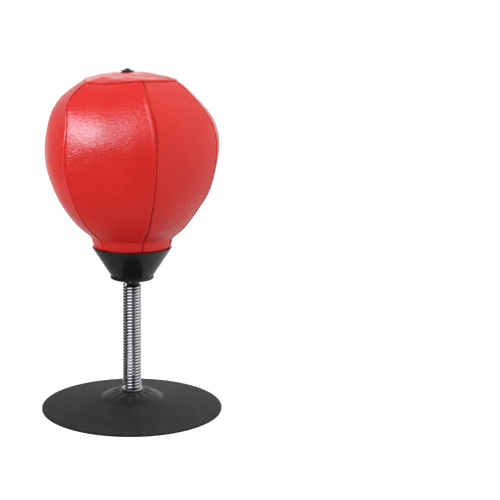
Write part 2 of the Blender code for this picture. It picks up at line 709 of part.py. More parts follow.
def laced_angle():
    return FIRST_SEAM_ANGLE + math.tau * LACED_SEAM / PANELS


def lacing_frame(row, across, lift):
    """A point beside the laced seam, lifted off the cover, and the cover's outward direction there."""
    height = COLLAR_RIM_Z + LACE_FIRST_ROW_ABOVE_RIM + LACE_ROW_RISE * row
    angle = laced_angle() + across / cover_radius(height)
    off_middle = 1.0 - abs(across) / cover_radius(height) / (math.pi / PANELS)
    out, up = cover_outward(height)
    outward = Vector((out * math.cos(angle), out * math.sin(angle), up))
    return cover_point(angle, off_middle, height, -lift), outward


def stand_on_cover(piece, row, side, lift):
    place, outward = lacing_frame(row, side * LACE_HALF_SPREAD, lift)
    turn = outward.to_track_quat("Z", "Y").to_matrix().to_4x4()
    piece.matrix_basis = Matrix.Translation(place) @ turn
    return piece


def make_eyelet(number):
    """A pressed ring: a flange on the cover, and a barrel through it."""
    barrel_radius = EYELET_BORE_RADIUS + EYELET_BARREL
    top = CLEARANCE + EYELET_FLANGE_THICKNESS
    profile = [
        (EYELET_BORE_RADIUS, top),
        (EYELET_FLANGE_RADIUS, top),
        (EYELET_FLANGE_RADIUS, CLEARANCE),
        (barrel_radius, CLEARANCE),
        (barrel_radius, -COVER_THICKNESS),
        (EYELET_BORE_RADIUS, -COVER_THICKNESS),
    ]
    return turned(f"lace_eyelet_{number}", profile, EYELET_STEPS)


def make_eyelet_cutter(number):
    shape = bmesh.new()
    bmesh.ops.create_cone(
        shape,
        cap_ends=True,
        segments=EYELET_STEPS,
        radius1=EYELET_HOLE_RADIUS,
        radius2=EYELET_HOLE_RADIUS,
        depth=CUTTER_DEPTH * COVER_THICKNESS,
    )
    name = f"eyelet_cutter_{number}"
    cutter = new_object(name, finished_mesh(name, shape), CUTTERS)
    cutter.hide_render = True
    cutter.display_type = "WIRE"
    return cutter


def make_eyelets(body, panel_before, panel_after):
    number = 0
    for row in range(LACE_ROWS):
        for side, panel in ((-1.0, panel_before), (1.0, panel_after)):
            number += 1
            body.carry(stand_on_cover(make_eyelet(number), row, side, 0.0), "zinc_steel")
            cutter = stand_on_cover(make_eyelet_cutter(number), row, side, 0.0)
            cut = panel.modifiers.new(cutter.name, "BOOLEAN")
            cut.operation = "DIFFERENCE"
            cut.object = cutter


def lace_strand(first_side, over_lift):
    """One end of the lace, from the bottom row to the top: across outside, then up inside."""
    points = []
    side = first_side
    for row in range(0, LACE_ROWS, 2):
        start = (row, side * LACE_HALF_SPREAD)
        end = (row + 1, -side * LACE_HALF_SPREAD)
        points.append(lacing_frame(*start, -LACE_INNER_DEPTH)[0])
        points.append(lacing_frame(*start, LACE_OUTER_LIFT)[0])
        for share in LACE_BENDS:
            between = (start[0] + share, start[1] * (1.0 - 2.0 * share))
            crossing = share == LACE_BENDS[1]
            lift = over_lift if crossing else (over_lift + LACE_OUTER_LIFT) / 2
            points.append(lacing_frame(*between, lift)[0])
        points.append(lacing_frame(*end, LACE_OUTER_LIFT)[0])
        points.append(lacing_frame(*end, -LACE_INNER_DEPTH)[0])
        side = -side
    return points


def make_lace():
    """The lace crosses itself outside, and its two ends are joined behind the top row."""
    up = lace_strand(-1.0, LACE_OUTER_LIFT)
    down = lace_strand(1.0, LACE_OVER_LIFT)
    return tube("lace", up + down[::-1], LACE_RADIUS, cyclic=True)


def make_tongue():
    """The strip of leather behind the lacing, which keeps the lace off the bladder."""
    overhang_rows = TONGUE_OVERHANG / LACE_ROW_RISE
    span = LACE_ROWS - 1 + 2 * overhang_rows

    def place(across, along, depth):
        row = along * span - overhang_rows
        lift = -TONGUE_DEPTH - depth * TONGUE_THICKNESS
        return lacing_frame(row, (2.0 * across - 1.0) * TONGUE_HALF_WIDTH, lift)[0]

    return slab("lace_tongue", TONGUE_COLUMNS, TONGUE_ROWS, place)


def make_ball(body):
    heights = panel_heights()
    panels = [make_panel(index, heights) for index in range(PANELS)]
    for panel in panels:
        body.carry(panel, "ball_leather")
    body.carry(make_cap(), "ball_leather")
    body.carry(make_bladder(heights), "bladder_latex")
    body.carry(make_valve_seat(), "valve_rubber")
    body.carry(make_tongue(), "ball_leather")
    make_eyelets(body, panels[LACED_SEAM - 1], panels[LACED_SEAM])
    body.carry(make_lace(), "lace_cotton")


def main():
    heights = hinge_heights()
    base = Body("base", 0.0)
    segments = []
    below = base
    for index in range(BEND_HINGES):
        below = Body(f"spring_{index + 1}", heights[index], below)
        segments.append(below)
    head = Body("head", heights[-1], below)
    plug = Body("plug", CROWN_Z, head)
    make_base(base)
    make_spring(base, segments, head, heights)
    make_collar_group(head)
    make_ball(head)
    plug.carry(make_valve_plug(), "valve_rubber")


main()
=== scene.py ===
"""The looks of a desktop punch ball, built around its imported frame.

A red leather ball of six sewn gores and a cap stands in a black collar on a chromed coil spring,
and the spring stands on a rubber suction cup. Everything is in metres, in the frame's own axes:
+Z is up and the camera looks roughly along +Y.
"""

import json
import math

import bpy
import numpy as np
from mathutils import Matrix, Vector

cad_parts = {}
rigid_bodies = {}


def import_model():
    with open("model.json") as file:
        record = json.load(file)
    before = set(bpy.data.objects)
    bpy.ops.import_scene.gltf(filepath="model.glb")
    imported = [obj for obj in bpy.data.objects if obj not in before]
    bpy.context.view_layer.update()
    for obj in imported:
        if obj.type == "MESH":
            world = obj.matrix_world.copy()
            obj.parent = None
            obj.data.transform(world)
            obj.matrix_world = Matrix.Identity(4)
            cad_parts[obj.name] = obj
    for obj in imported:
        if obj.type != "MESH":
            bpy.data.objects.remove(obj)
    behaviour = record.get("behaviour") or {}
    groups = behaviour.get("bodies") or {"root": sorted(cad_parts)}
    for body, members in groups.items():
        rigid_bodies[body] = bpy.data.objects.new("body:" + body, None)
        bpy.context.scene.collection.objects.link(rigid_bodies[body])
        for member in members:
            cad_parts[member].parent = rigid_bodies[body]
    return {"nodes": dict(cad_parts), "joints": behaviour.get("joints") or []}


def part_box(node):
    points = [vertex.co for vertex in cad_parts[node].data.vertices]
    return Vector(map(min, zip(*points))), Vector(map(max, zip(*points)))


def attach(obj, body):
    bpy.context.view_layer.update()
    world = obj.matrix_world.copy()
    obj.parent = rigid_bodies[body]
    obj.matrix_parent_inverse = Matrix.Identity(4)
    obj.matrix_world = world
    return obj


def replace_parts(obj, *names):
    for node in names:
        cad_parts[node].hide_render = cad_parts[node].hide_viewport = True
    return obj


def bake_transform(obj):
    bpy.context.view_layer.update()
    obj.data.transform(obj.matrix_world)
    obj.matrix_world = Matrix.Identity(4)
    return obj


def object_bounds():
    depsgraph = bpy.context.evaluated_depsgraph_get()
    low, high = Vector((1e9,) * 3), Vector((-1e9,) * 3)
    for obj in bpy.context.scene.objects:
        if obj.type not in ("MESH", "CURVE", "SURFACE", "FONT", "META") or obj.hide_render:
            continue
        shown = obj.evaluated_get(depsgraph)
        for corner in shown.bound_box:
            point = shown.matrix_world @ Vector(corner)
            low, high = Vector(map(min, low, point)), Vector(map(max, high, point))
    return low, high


MM = 0.001
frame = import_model()
cad_low, cad_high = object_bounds()

# ---------------------------------------------------------------- sizes

CAMERA_DISTANCE = 1.0
CAMERA_HEIGHT = 0.333
CAMERA_PITCH = math.radians(10.31)  # downwards
CAMERA_TURN = math.radians(2.89)  # to the right, about the camera's own up axis
CAMERA_LENS = 78.9
CAMERA_SENSOR = 36.0
CAMERA_SHIFT = 0.125

ROUND_STEPS = 192
CUP_STEPS = 256
SMALL_STEPS = 96
TINY_STEPS = 64
FILLET_STEPS = 6
FILLET_LIMIT = 0.49  # as a share of each side at a corner
CURVE_STEPS = 14
TINY_RADIUS = 0.05 * MM  # where an outline would touch the axis
WAVES = 24  # in each smooth random height
WAVE_SPREAD = (0.7, 1.5)  # the shortest and the longest, as a share of the wavelength asked for
PANEL_SEED = 3
CAP_SEED = 8
SKIRT_SEED = 21

PANELS = 6
FIRST_SEAM = math.radians(-15.0)
COVER_THICKNESS = 1.0 * MM
SEAM_GAP = 0.42 * MM
SEAM_ROLL = 1.2 * MM  # the radius with which the leather turns in at a seam
SEAM_TUCK = 0.5 * MM  # how deep the other panel's edge is tucked under
SEAM_TUCK_REACH = 0.8 * MM
SEAM_FLAP = 1.4 * MM  # how far the turned-in edge reaches on inwards
LIP_SWAP_SEAM = 0  # the one seam whose lip is on its other panel
STITCH_PITCH = 3.2 * MM
STITCH_RADIUS = 0.28 * MM
STITCH_SIDES = 6
STITCH_DEPTH = 0.75 * MM
STITCH_SINK = 0.5 * MM  # how much deeper a stitch's ends go than its middle
STITCH_REACH = 0.95 * MM  # across the seam, each way
STITCH_SLANT = 0.5 * MM  # along the seam, each way

# The leather's folds. A length is what its wave covers in one radian.
PANEL_WAVES = ((38 * MM, 0.22 * MM), (15 * MM, 0.05 * MM))  # wavelength and height
PUCKER_HEIGHT = 0.08 * MM  # at each stitch
PUCKER_REACH = 2.2 * MM
GATHER_HEIGHT = 0.07 * MM  # across the seams, over several stitches
GATHER_LENGTH = 2.9 * MM
GATHER_DRIFT_LENGTH = 9 * MM
GATHER_REACH = 7 * MM
WELT_HEIGHT = 0.36 * MM  # along the edge that lies over its neighbour
WELT_MIDDLE = 1.9 * MM
WELT_WIDTH = 1.2 * MM
FOLD_HEIGHT = 0.12 * MM  # below the cap
FOLD_LENGTH = MM / 1.1
FOLD_DRIFT_LENGTH = 7 * MM
FOLD_REACH = 7 * MM
DRIFT = 2.0  # in radians, so that the waves aren't regular

PANEL_COLUMNS = 56
PANEL_ROWS = 170
PANEL_CROWDING = 1.7  # above 1, the columns lie closer together towards the seams
CAP_RINGS = 34
CAP_SPOKES = 180
CAP_CROWDING = 1.5  # above 1, the rings lie closer together towards the edge


def low_of(node):
    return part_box(node)[0]


def high_of(node):
    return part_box(node)[1]


RIM_Z = high_of("collar").z
RIM_RADIUS = high_of("collar").x
COLLAR_FOOT_Z = low_of("collar").z
HEM_Z = low_of("cover_panel_1").z
CAP_EDGE_Z = high_of("cover_panel_1").z
CROWN_Z = high_of("cover_cap").z
CUP_RADIUS = cad_high.x
DOME_RADIUS = 29.6 * MM
DOME_FOOT_Z = 10.2 * MM
SCREW_BORE_RADIUS = 2.3 * MM


def radius_of(vertex):
    return math.hypot(vertex.co.x, vertex.co.y)


WIDEST = max(frame["nodes"]["cover_panel_1"].data.vertices, key=radius_of)
BALL_RADIUS = radius_of(WIDEST)
EQUATOR_Z = WIDEST.co.z

# From the right-hand seam or panel round by the back: how straight each panel is across, where 1 is
# as straight as panel_flatness says, and how far each seam is turned all the way up and near the cap.
PANEL_FLATNESS = [0.35, 1.0, 1.0, 1.0, 1.0, 1.0]
SEAM_SHIFT = [math.radians(turn) for turn in (-8.0, 0.0, 0.0, 0.0, 0.0, 0.0)]
SEAM_WANDER = [math.radians(turn) for turn in (-6.0, 0.0, 0.0, -8.0, -12.0, -3.0)]
WANDER_FOOT_Z = EQUATOR_Z + 14.0 * MM

# Each bulge: its angle, its height, how wide and how tall it is, and how far it stands out.
LOBES = [
    (math.radians(180.0), EQUATOR_Z + 42.0 * MM, math.radians(55.0), 24.0 * MM, 5.0 * MM),
    (math.radians(180.0), EQUATOR_Z - 20.0 * MM, math.radians(45.0), 28.0 * MM, 2.4 * MM),
    (math.radians(0.0), EQUATOR_Z + 48.0 * MM, math.radians(50.0), 16.0 * MM, -2.4 * MM),
    (math.radians(0.0), EQUATOR_Z - 28.0 * MM, math.radians(45.0), 26.0 * MM, -1.2 * MM),
    (math.radians(0.0), EQUATOR_Z - 62.0 * MM, math.radians(45.0), 18.0 * MM, -3.2 * MM),
]

CAP_HOLE_RADIUS = 5.1 * MM
CAP_OVERHANG = 0.9 * MM  # how far the cap's edge reaches past the panels' top
CAP_LIFT = 0.9 * MM  # and how far above it it lies
CAP_UNDER_SHARE = 0.97  # how much narrower the cap's edge is below
CAP_WAVES = ((24 * MM, 0.5 * MM), (11 * MM, 0.22 * MM))  # wavelength and height
CAP_PUCKERS = 80
CAP_PUCKER_HEIGHT = 0.06 * MM
CAP_DOME_POWER = 2.1  # above 2, the cap is flatter in its middle than a paraboloid
CAP_DROOP = 3.2 * MM  # how much lower the cap's edge hangs at its droop
CAP_DROOP_ANGLE = math.radians(-130.0)
CAP_DROOP_SPREAD = math.radians(32.0)
CAP_DROOP_REACH = 14 * MM  # how far below the cap's edge the panels droop with it
CAP_SLACK = 1.1 * MM  # how far the cap sinks between its middle and its edge on the drooping side
NUB_SHIFT = Vector((-4.2 * MM, 0.0, 0.0))

# ---------------------------------------------------------------- small tools


def smooth_step(value):
    """Rises smoothly from 0 at 0 to 1 at 1, and stays there."""
    held = np.clip(value, 0.0, 1.0)
    return held * held * (3.0 - 2.0 * held)


def smooth_greater(first, second, rounding):
    """The greater of two, with the corner between them rounded."""
    return (first + second + np.hypot(first - second, rounding)) / 2


def undulation(points, wavelength, seed):
    """A smooth random height at each point, from -1 to 1 or so: waves in random directions."""
    random = np.random.default_rng(seed)
    directions = random.normal(size=(WAVES, 3))
    directions /= np.linalg.norm(directions, axis=1)[:, None]
    lengths = wavelength * random.uniform(*WAVE_SPREAD, WAVES)
    phases = random.uniform(0.0, math.tau, WAVES)
    waves = points @ (directions / lengths[:, None] * math.tau).T + phases
    return np.cos(waves).sum(axis=-1) / math.sqrt(WAVES)


def unevenness(points, waves, seed):
    """Undulations of several (wavelength, height) on top of one another."""
    rise = 0.0
    for step, (wavelength, height) in enumerate(waves):
        rise = rise + height * undulation(points, wavelength, seed + step)
    return rise


def fading(distance, reach):
    """1 at no distance, and less and less beyond."""
    return np.exp(-distance / reach)


def about_axis(radius, angle, height):
    """The place at a radius and an angle about the axis, and at a height. Each may be an array."""
    return np.stack([radius * np.cos(angle), radius * np.sin(angle), height], axis=-1)


def grid_faces(rows, columns, wrap=False):
    """Quads between the rows and columns of a grid of corners, which may close on itself."""
    faces = []
    for row in range(rows - 1):
        for column in range(columns if wrap else columns - 1):
            beside = (column + 1) % columns
            here = row * columns
            above = here + columns
            faces.append((here + column, here + beside, above + beside, above + column))
    return faces


def mesh_piece(name, corners, faces, body, slot, finish=None):
    """A smooth piece that rides on a CAD body and takes its finish from a slot."""
    mesh = bpy.data.meshes.new(name)
    mesh.from_pydata([tuple(corner) for corner in corners], [], faces)
    mesh.shade_smooth()
    piece = bpy.data.objects.new(name, mesh)
    bpy.context.scene.collection.objects.link(piece)
    piece.data.materials.append(MATERIALS[finish or slot])
    if body:
        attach(piece, body)
    return piece


def filleted(outline):
    """An outline of (radius, height, fillet) as points, with a curve at each filleted corner."""
    points = []
    count = len(outline)
    for index, (x, z, fillet) in enumerate(outline):
        corner = Vector((x, z))
        if fillet <= 0.0:
            points.append(corner)
            continue
        before = Vector(outline[index - 1][:2]) - corner
        after = Vector(outline[(index + 1) % count][:2]) - corner
        half = before.angle(after) / 2
        reach = min(fillet / math.tan(half), before.length * FILLET_LIMIT, after.length * FILLET_LIMIT)
        start = corner + before.normalized() * reach
        end = corner + after.normalized() * reach
        for step in range(FILLET_STEPS + 1):
            share = step / FILLET_STEPS
            along = start.lerp(corner, share)
            points.append(along.lerp(corner.lerp(end, share), share))
    return points


def turned(name, outline, body, slot, steps=ROUND_STEPS, shape=None):
    """A closed outline turned about Z. It runs clockwise as seen with the axis on its left.

    shape takes the corners and returns them moved.
    """
    angles = np.arange(steps) * math.tau / steps
    rings = [about_axis(point.x, angles, np.full(steps, point.y)) for point in filleted(outline)]
    corners = np.concatenate(rings)
    if shape:
        corners = shape(corners)
    faces = []
    for face in grid_faces(len(rings) + 1, steps, wrap=True):
        faces.append(tuple(corner % len(corners) for corner in face)[::-1])
    return mesh_piece(name, corners, faces, body, slot)


def sweep(path, radius, sides):
    """Corners and faces of a round wire along a path, with its ends capped."""
    path = np.asarray(path, float)
    ahead = np.vstack([path[1:], 2 * path[-1] - path[-2]])
    behind = np.vstack([2 * path[0] - path[1], path[:-1]])
    tangents = ahead - behind
    tangents /= np.linalg.norm(tangents, axis=1)[:, None]
    side = np.cross(tangents[0], (0.0, 0.0, 1.0))
    if np.linalg.norm(side) < 0.1:
        side = np.cross(tangents[0], (0.0, 1.0, 0.0))
    rings = []
    turn = np.arange(sides) * math.tau / sides
    for point, tangent in zip(path, tangents):
        side = side - tangent * side.dot(tangent)
        side /= np.linalg.norm(side)
        other = np.cross(tangent, side)
        rings.append(point + radius * (np.outer(np.cos(turn), side) + np.outer(np.sin(turn), other)))
    corners = np.concatenate([*rings, rings[0], rings[-1]])
    first_cap = len(path) * sides
    last_cap = first_cap + sides
    faces = grid_faces(len(path), sides, wrap=True)
    faces.append(tuple(range(first_cap, last_cap))[::-1])
    faces.append(tuple(range(last_cap, last_cap + sides)))
    return corners, faces


def joined(shapes):
    """Several (corners, faces) as one."""
    corners = []
    faces = []
    for some, its_faces in shapes:
        start = sum(len(part) for part in corners)
        corners.append(some)
        faces += [tuple(corner + start for corner in face) for face in its_faces]
    return np.concatenate(corners), faces


# ---------------------------------------------------------------- materials

NOISE_RANGE = (0.3, 0.7)  # what a noise mostly keeps to


def map_range(nodes, links, value, ends):
    """A node that takes a value from between the first two ends to between the last two."""
    node = nodes.new("ShaderNodeMapRange")
    for socket, number in zip(("From Min", "From Max", "To Min", "To Max"), ends):
        node.inputs[socket].default_value = number
    links.new(value, node.inputs["Value"])
    return node


class Finish:
    """A material whose colour, roughness and bumps come from procedural textures."""

    def __init__(self, name, colour, roughness, metallic=0.0, **sockets):
        self.material = bpy.data.materials.new(name)
        self.material.use_nodes = True
        self.nodes = self.material.node_tree.nodes
        self.links = self.material.node_tree.links
        self.shader = self.nodes["Principled BSDF"]
        self.shader.inputs["Base Color"].default_value = (*colour, 1.0)
        self.shader.inputs["Roughness"].default_value = roughness
        self.shader.inputs["Metallic"].default_value = metallic
        for socket, value in sockets.items():
            self.shader.inputs[socket.replace("_", " ")].default_value = value
        self.coordinates = self.nodes.new("ShaderNodeTexCoord")
        self.bumps = None

    def where(self, stretch=(1.0, 1.0, 1.0)):
        """The place on the piece, in metres, stretched along its axes."""
        mapping = self.nodes.new("ShaderNodeMapping")
        mapping.inputs["Scale"].default_value = stretch
        self.links.new(self.coordinates.outputs["Object"], mapping.inputs["Vector"])
        return mapping.outputs["Vector"]

    def noise(self, size, detail=3.0, roughness=0.5, distortion=0.0, stretch=(1.0, 1.0, 1.0)):
        texture = self.nodes.new("ShaderNodeTexNoise")
        texture.inputs["Scale"].default_value = 1.0 / size
        texture.inputs["Detail"].default_value = detail
        texture.inputs["Roughness"].default_value = roughness
        texture.inputs["Distortion"].default_value = distortion
        self.links.new(self.where(stretch), texture.inputs["Vector"])
        return texture.outputs["Fac"]

    def cells(self, size):
        """Rounded grains of about a size."""
        texture = self.nodes.new("ShaderNodeTexVoronoi")
        texture.feature = "SMOOTH_F1"
        texture.inputs["Scale"].default_value = 1.0 / size
        self.links.new(self.where(), texture.inputs["Vector"])
        return texture.outputs["Distance"]

    def mapped(self, value, low, high, to_low, to_high):
        return map_range(self.nodes, self.links, value, (low, high, to_low, to_high)).outputs["Result"]

    def colours(self, noise, first, second):
        """Runs from the first colour to the second as a noise rises."""
        node = self.nodes.new("ShaderNodeMix")
        node.data_type = "RGBA"
        node.inputs["A"].default_value = (*first, 1.0)
        node.inputs["B"].default_value = (*second, 1.0)
        self.links.new(self.mapped(noise, *NOISE_RANGE, 0.0, 1.0), node.inputs["Factor"])
        return node.outputs["Result"]

    def colour(self, output):
        self.links.new(output, self.shader.inputs["Base Color"])

    def roughness(self, output):
        self.links.new(output, self.shader.inputs["Roughness"])

    def roughen(self, noise, low, high):
        """Takes the roughness from low to high as a noise rises."""
        self.roughness(self.mapped(noise, *NOISE_RANGE, low, high))

    def bump(self, height, distance, coat=False):
        """Adds a height to the surface, so many metres from 0 to 1."""
        node = self.nodes.new("ShaderNodeBump")
        node.inputs["Strength"].default_value = 1.0
        node.inputs["Distance"].default_value = distance
        self.links.new(height, node.inputs["Height"])
        if self.bumps:
            self.links.new(self.bumps, node.inputs["Normal"])
        self.bumps = node.outputs["Normal"]
        self.links.new(self.bumps, self.shader.inputs["Normal"])
        if coat:
            self.links.new(self.bumps, self.shader.inputs["Coat Normal"])


def leather_finish(name, coat):
    """Grained red leather under a clear coat."""
    gloss = {"Specular_IOR_Level": 0.12, "Coat_Weight": coat, "Coat_Roughness": 0.14, "Coat_IOR": 1.5}
    made = Finish(name, (0.72, 0.02, 0.016), 0.42, **gloss)
    patches = made.noise(38 * MM, detail=3.0)
    made.colour(made.colours(patches, (0.72, 0.014, 0.011), (0.79, 0.019, 0.015)))
    made.roughen(made.noise(9 * MM, detail=4.0), 0.38, 0.48)
    dents = made.noise(10 * MM, detail=2.0, distortion=0.4)
    creases = made.noise(3 * MM, detail=4.0, roughness=0.6, stretch=(1.0, 1.0, 1.7))
    made.bump(dents, 0.12 * MM, coat=True)
    made.bump(creases, 0.44 * MM, coat=True)
    made.bump(made.cells(0.9 * MM), 0.02 * MM, coat=True)
    return made.material


def thread_finish():
    made = Finish("seam_thread", (0.42, 0.01, 0.01), 0.7)
    made.bump(made.noise(0.3 * MM, detail=1.0), 0.03 * MM)
    return made.material


def rubber_finish():
    """Black rubber, matt on the skirt and glossier on the dome around the axis."""
    made = Finish("cup_rubber", (0.018, 0.018, 0.019), 0.5, Specular_IOR_Level=0.22)
    mottle = made.noise(12 * MM, detail=5.0, roughness=0.6)
    made.colour(made.colours(mottle, (0.013, 0.013, 0.014), (0.025, 0.025, 0.026)))
    from_axis = made.nodes.new("ShaderNodeVectorMath")
    from_axis.operation = "LENGTH"
    made.links.new(made.where((1.0, 1.0, 0.0)), from_axis.inputs[0])
    inner = DOME_RADIUS - 2 * MM
    outer = DOME_RADIUS + 1 * MM
    made.roughness(made.mapped(from_axis.outputs["Value"], inner, outer, 0.26, 0.55))
    made.bump(made.noise(7 * MM, detail=3.0), 0.10 * MM)
    made.bump(made.noise(1.1 * MM, detail=3.0, roughness=0.7), 0.03 * MM)
    return made.material


def chrome_finish():
    made = Finish("spring_chrome", (0.60, 0.61, 0.63), 0.09, metallic=1.0)
    made.roughness(made.mapped(made.noise(2.5 * MM, detail=4.0), 0.35, 0.75, 0.06, 0.16))
    made.bump(made.noise(1.2 * MM, detail=2.0), 0.006 * MM)
    return made.material


def zinc_finish():
    made = Finish("zinc_steel", (0.62, 0.63, 0.65), 0.28, metallic=1.0)
    made.colour(made.colours(made.noise(3 * MM, detail=3.0), (0.55, 0.56, 0.58), (0.7, 0.7, 0.71)))
    made.roughen(made.noise(1.5 * MM, detail=4.0), 0.2, 0.4)
    made.bump(made.noise(0.8 * MM, detail=2.0), 0.01 * MM)
    return made.material


def nylon_finish():
    made = Finish("black_nylon", (0.014, 0.014, 0.015), 0.42)
    made.roughen(made.noise(3 * MM, detail=3.0), 0.36, 0.5)
    made.bump(made.noise(0.6 * MM, detail=2.0), 0.012 * MM)
    return made.material


def collar_finish():
    made = Finish("collar_plastic", (0.010, 0.010, 0.011), 0.2)
    made.roughen(made.noise(8 * MM, detail=4.0), 0.1, 0.16)
    made.bump(made.noise(9 * MM, detail=1.0), 0.03 * MM)
    made.bump(made.noise(0.9 * MM, detail=2.0), 0.002 * MM)
    return made.material


def valve_finish():
    made = Finish("valve_rubber", (0.028, 0.028, 0.030), 0.4)
    made.colour(made.colours(made.noise(2 * MM), (0.02, 0.02, 0.022), (0.04, 0.04, 0.042)))
    made.bump(made.noise(0.5 * MM, detail=2.0), 0.015 * MM)
    return made.material


def bladder_finish():
    made = Finish("bladder_rubber", (0.5, 0.36, 0.2), 0.5, Subsurface_Weight=0.1)
    made.colour(made.colours(made.noise(12 * MM, detail=4.0), (0.42, 0.29, 0.15), (0.56, 0.42, 0.24)))
    made.bump(made.noise(4 * MM, detail=3.0), 0.05 * MM)
    return made.material


def lace_finish():
    made = Finish("white_lace", (0.8, 0.79, 0.75), 0.85, Sheen_Weight=0.3)
    made.colour(made.colours(made.noise(2 * MM, detail=3.0), (0.7, 0.68, 0.63), (0.84, 0.83, 0.8)))
    made.bump(made.cells(0.5 * MM), 0.04 * MM)
    return made.material


MATERIALS = {
    "red_leather": leather_finish("red_leather", 0.65),
    "cap_leather": leather_finish("cap_leather", 0.95),
    "cup_rubber": rubber_finish(),
    "spring_chrome": chrome_finish(),
    "zinc_steel": zinc_finish(),
    "black_nylon": nylon_finish(),
    "collar_plastic": collar_finish(),
    "valve_rubber": valve_finish(),
    "bladder_rubber": bladder_finish(),
    "white_lace": lace_finish(),
    "seam_thread": thread_finish(),
}

CAD_FINISHES = {
    "base_screw": "zinc_steel",
    "base_screw_washer": "zinc_steel",
    "base_stud": "black_nylon",
    "collar_screw": "zinc_steel",
    "collar_screw_washer": "zinc_steel",
    "clamp_cup": "black_nylon",
    "lace": "white_lace",
    "lace_tongue": "red_leather",
}
for node in frame["nodes"]:
    if node.startswith("lace_eyelet"):
        CAD_FINISHES[node] = "zinc_steel"

# ---------------------------------------------------------------- the ball's shape

LOWER_REACH = 94.5 * MM  # how far below its widest height the ball would close
UPPER_REACH = 70.6 * MM  # and above it
NECK_INNER = RIM_RADIUS - 2.55 * MM
NECK_ROLL = 1.9 * MM  # how far the leather bulges over the collar's rim
NECK_ROLL_HEIGHT = 1.2 * MM
NECK_SLOPE = 0.22  # how much it widens with its height above the collar
NECK_ROUNDING = 2.0 * MM
COLLAR_SLOPE = 0.65  # and inside the collar
NECK_FLATNESS = 0.3
BELLY_FLATNESS = 0.15
TOP_FLATNESS = 0.4
SEAM_SAMPLES = 4000
STITCH_SAMPLES = 2000


def seam_radius(height):
    """How far the seams are from the axis."""
    reach = np.where(height < EQUATOR_Z, LOWER_REACH, UPPER_REACH)
    share = np.clip(np.abs(height - EQUATOR_Z) / reach, 0.0, 0.999)
    ball = BALL_RADIUS * np.sqrt(1.0 - share**2)
    above = np.maximum(height - RIM_Z, 0.0)
    neck = NECK_INNER + NECK_ROLL * (1.0 - fading(above, NECK_ROLL_HEIGHT)) + NECK_SLOPE * above
    outside = smooth_greater(ball, neck, NECK_ROUNDING)
    inside = NECK_INNER - COLLAR_SLOPE * (RIM_Z - height)
    return np.where(height < RIM_Z, inside, np.where(height < EQUATOR_Z, outside, ball))


def panel_flatness(height):
    """From 0, where the panels are round, to 1, where each is straight from seam to seam."""
    neck = NECK_FLATNESS * smooth_step((height - RIM_Z) / (2 * MM))
    belly = BELLY_FLATNESS * smooth_step((height - RIM_Z - 20 * MM) / (50 * MM))
    return neck + belly + TOP_FLATNESS * smooth_step((height - EQUATOR_Z) / (CAP_EDGE_Z - EQUATOR_Z))


def seam_angle(seam, height):
    """A seam's angle about the axis. It wanders near the cap, where the panels aren't quite equal."""
    near_cap = smooth_step((height - WANDER_FOOT_Z) / (CAP_EDGE_Z - WANDER_FOOT_Z))
    wander = SEAM_SHIFT[seam % PANELS] + SEAM_WANDER[seam % PANELS] * near_cap
    return FIRST_SEAM + math.tau * seam / PANELS + wander


def angle_between(angle, toward):
    """How far an angle is from another, between minus and plus half a turn."""
    return np.mod(angle - toward + math.pi, math.tau) - math.pi


def lobes(angle, height):
    """How far the ball bulges or is flattened at a place, as a hand-sewn ball is."""
    rise = 0.0
    for toward, at_z, spread, tall, amount in LOBES:
        away = angle_between(angle, toward)
        rise = rise + amount * np.exp(-((away / spread) ** 2) - ((height - at_z) / tall) ** 2)
    return rise


def panel_radius(off_middle, half, angle, height, flatness=1.0):
    """The cover's radius, off_middle being -1 and 1 at the panel's seams and half its half angle."""
    chord = np.cos(half) / np.cos(off_middle * half)
    dip = flatness * panel_flatness(height) * (1.0 - chord)
    return seam_radius(height) * (1.0 - dip) + lobes(angle, height)


def outward(corners, rows, columns):
    """The outward normals of a grid of corners."""
    grid = corners.reshape(rows, columns, 3)
    along = np.gradient(grid, axis=0)
    across = np.gradient(grid, axis=1)
    normals = np.cross(across, along)
    normals /= np.maximum(np.linalg.norm(normals, axis=2), 1e-12)[..., None]
    return normals.reshape(-1, 3)


def arc_heights(count):
    """Heights from the hem to the cap's edge that lie evenly along a seam, and the seam's length."""
    fine = np.linspace(HEM_Z, CAP_EDGE_Z, SEAM_SAMPLES)
    steps = np.hypot(np.diff(fine), np.diff(seam_radius(fine)))
    lengths = np.concatenate([[0.0], np.cumsum(steps)])
    return np.interp(np.linspace(0.0, lengths[-1], count), lengths, fine), lengths[-1]


def rolled_depth(distance):
    """How deep the leather turns in, so far from a seam."""
    inside = np.clip(SEAM_ROLL - distance, 0.0, SEAM_ROLL)
    return SEAM_ROLL - np.sqrt(SEAM_ROLL**2 - inside**2)


def leather_shell(name, grid, faces, node, finish="red_leather"):
    """A piece of leather as thick as the cover, from the corners of its outer face."""
    piece = mesh_piece(name, grid.reshape(-1, 3), faces, "head", "red_leather", finish)
    shell = piece.modifiers.new("thickness", "SOLIDIFY")
    shell.thickness = COVER_THICKNESS
    shell.offset = -1.0
    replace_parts(piece, node)


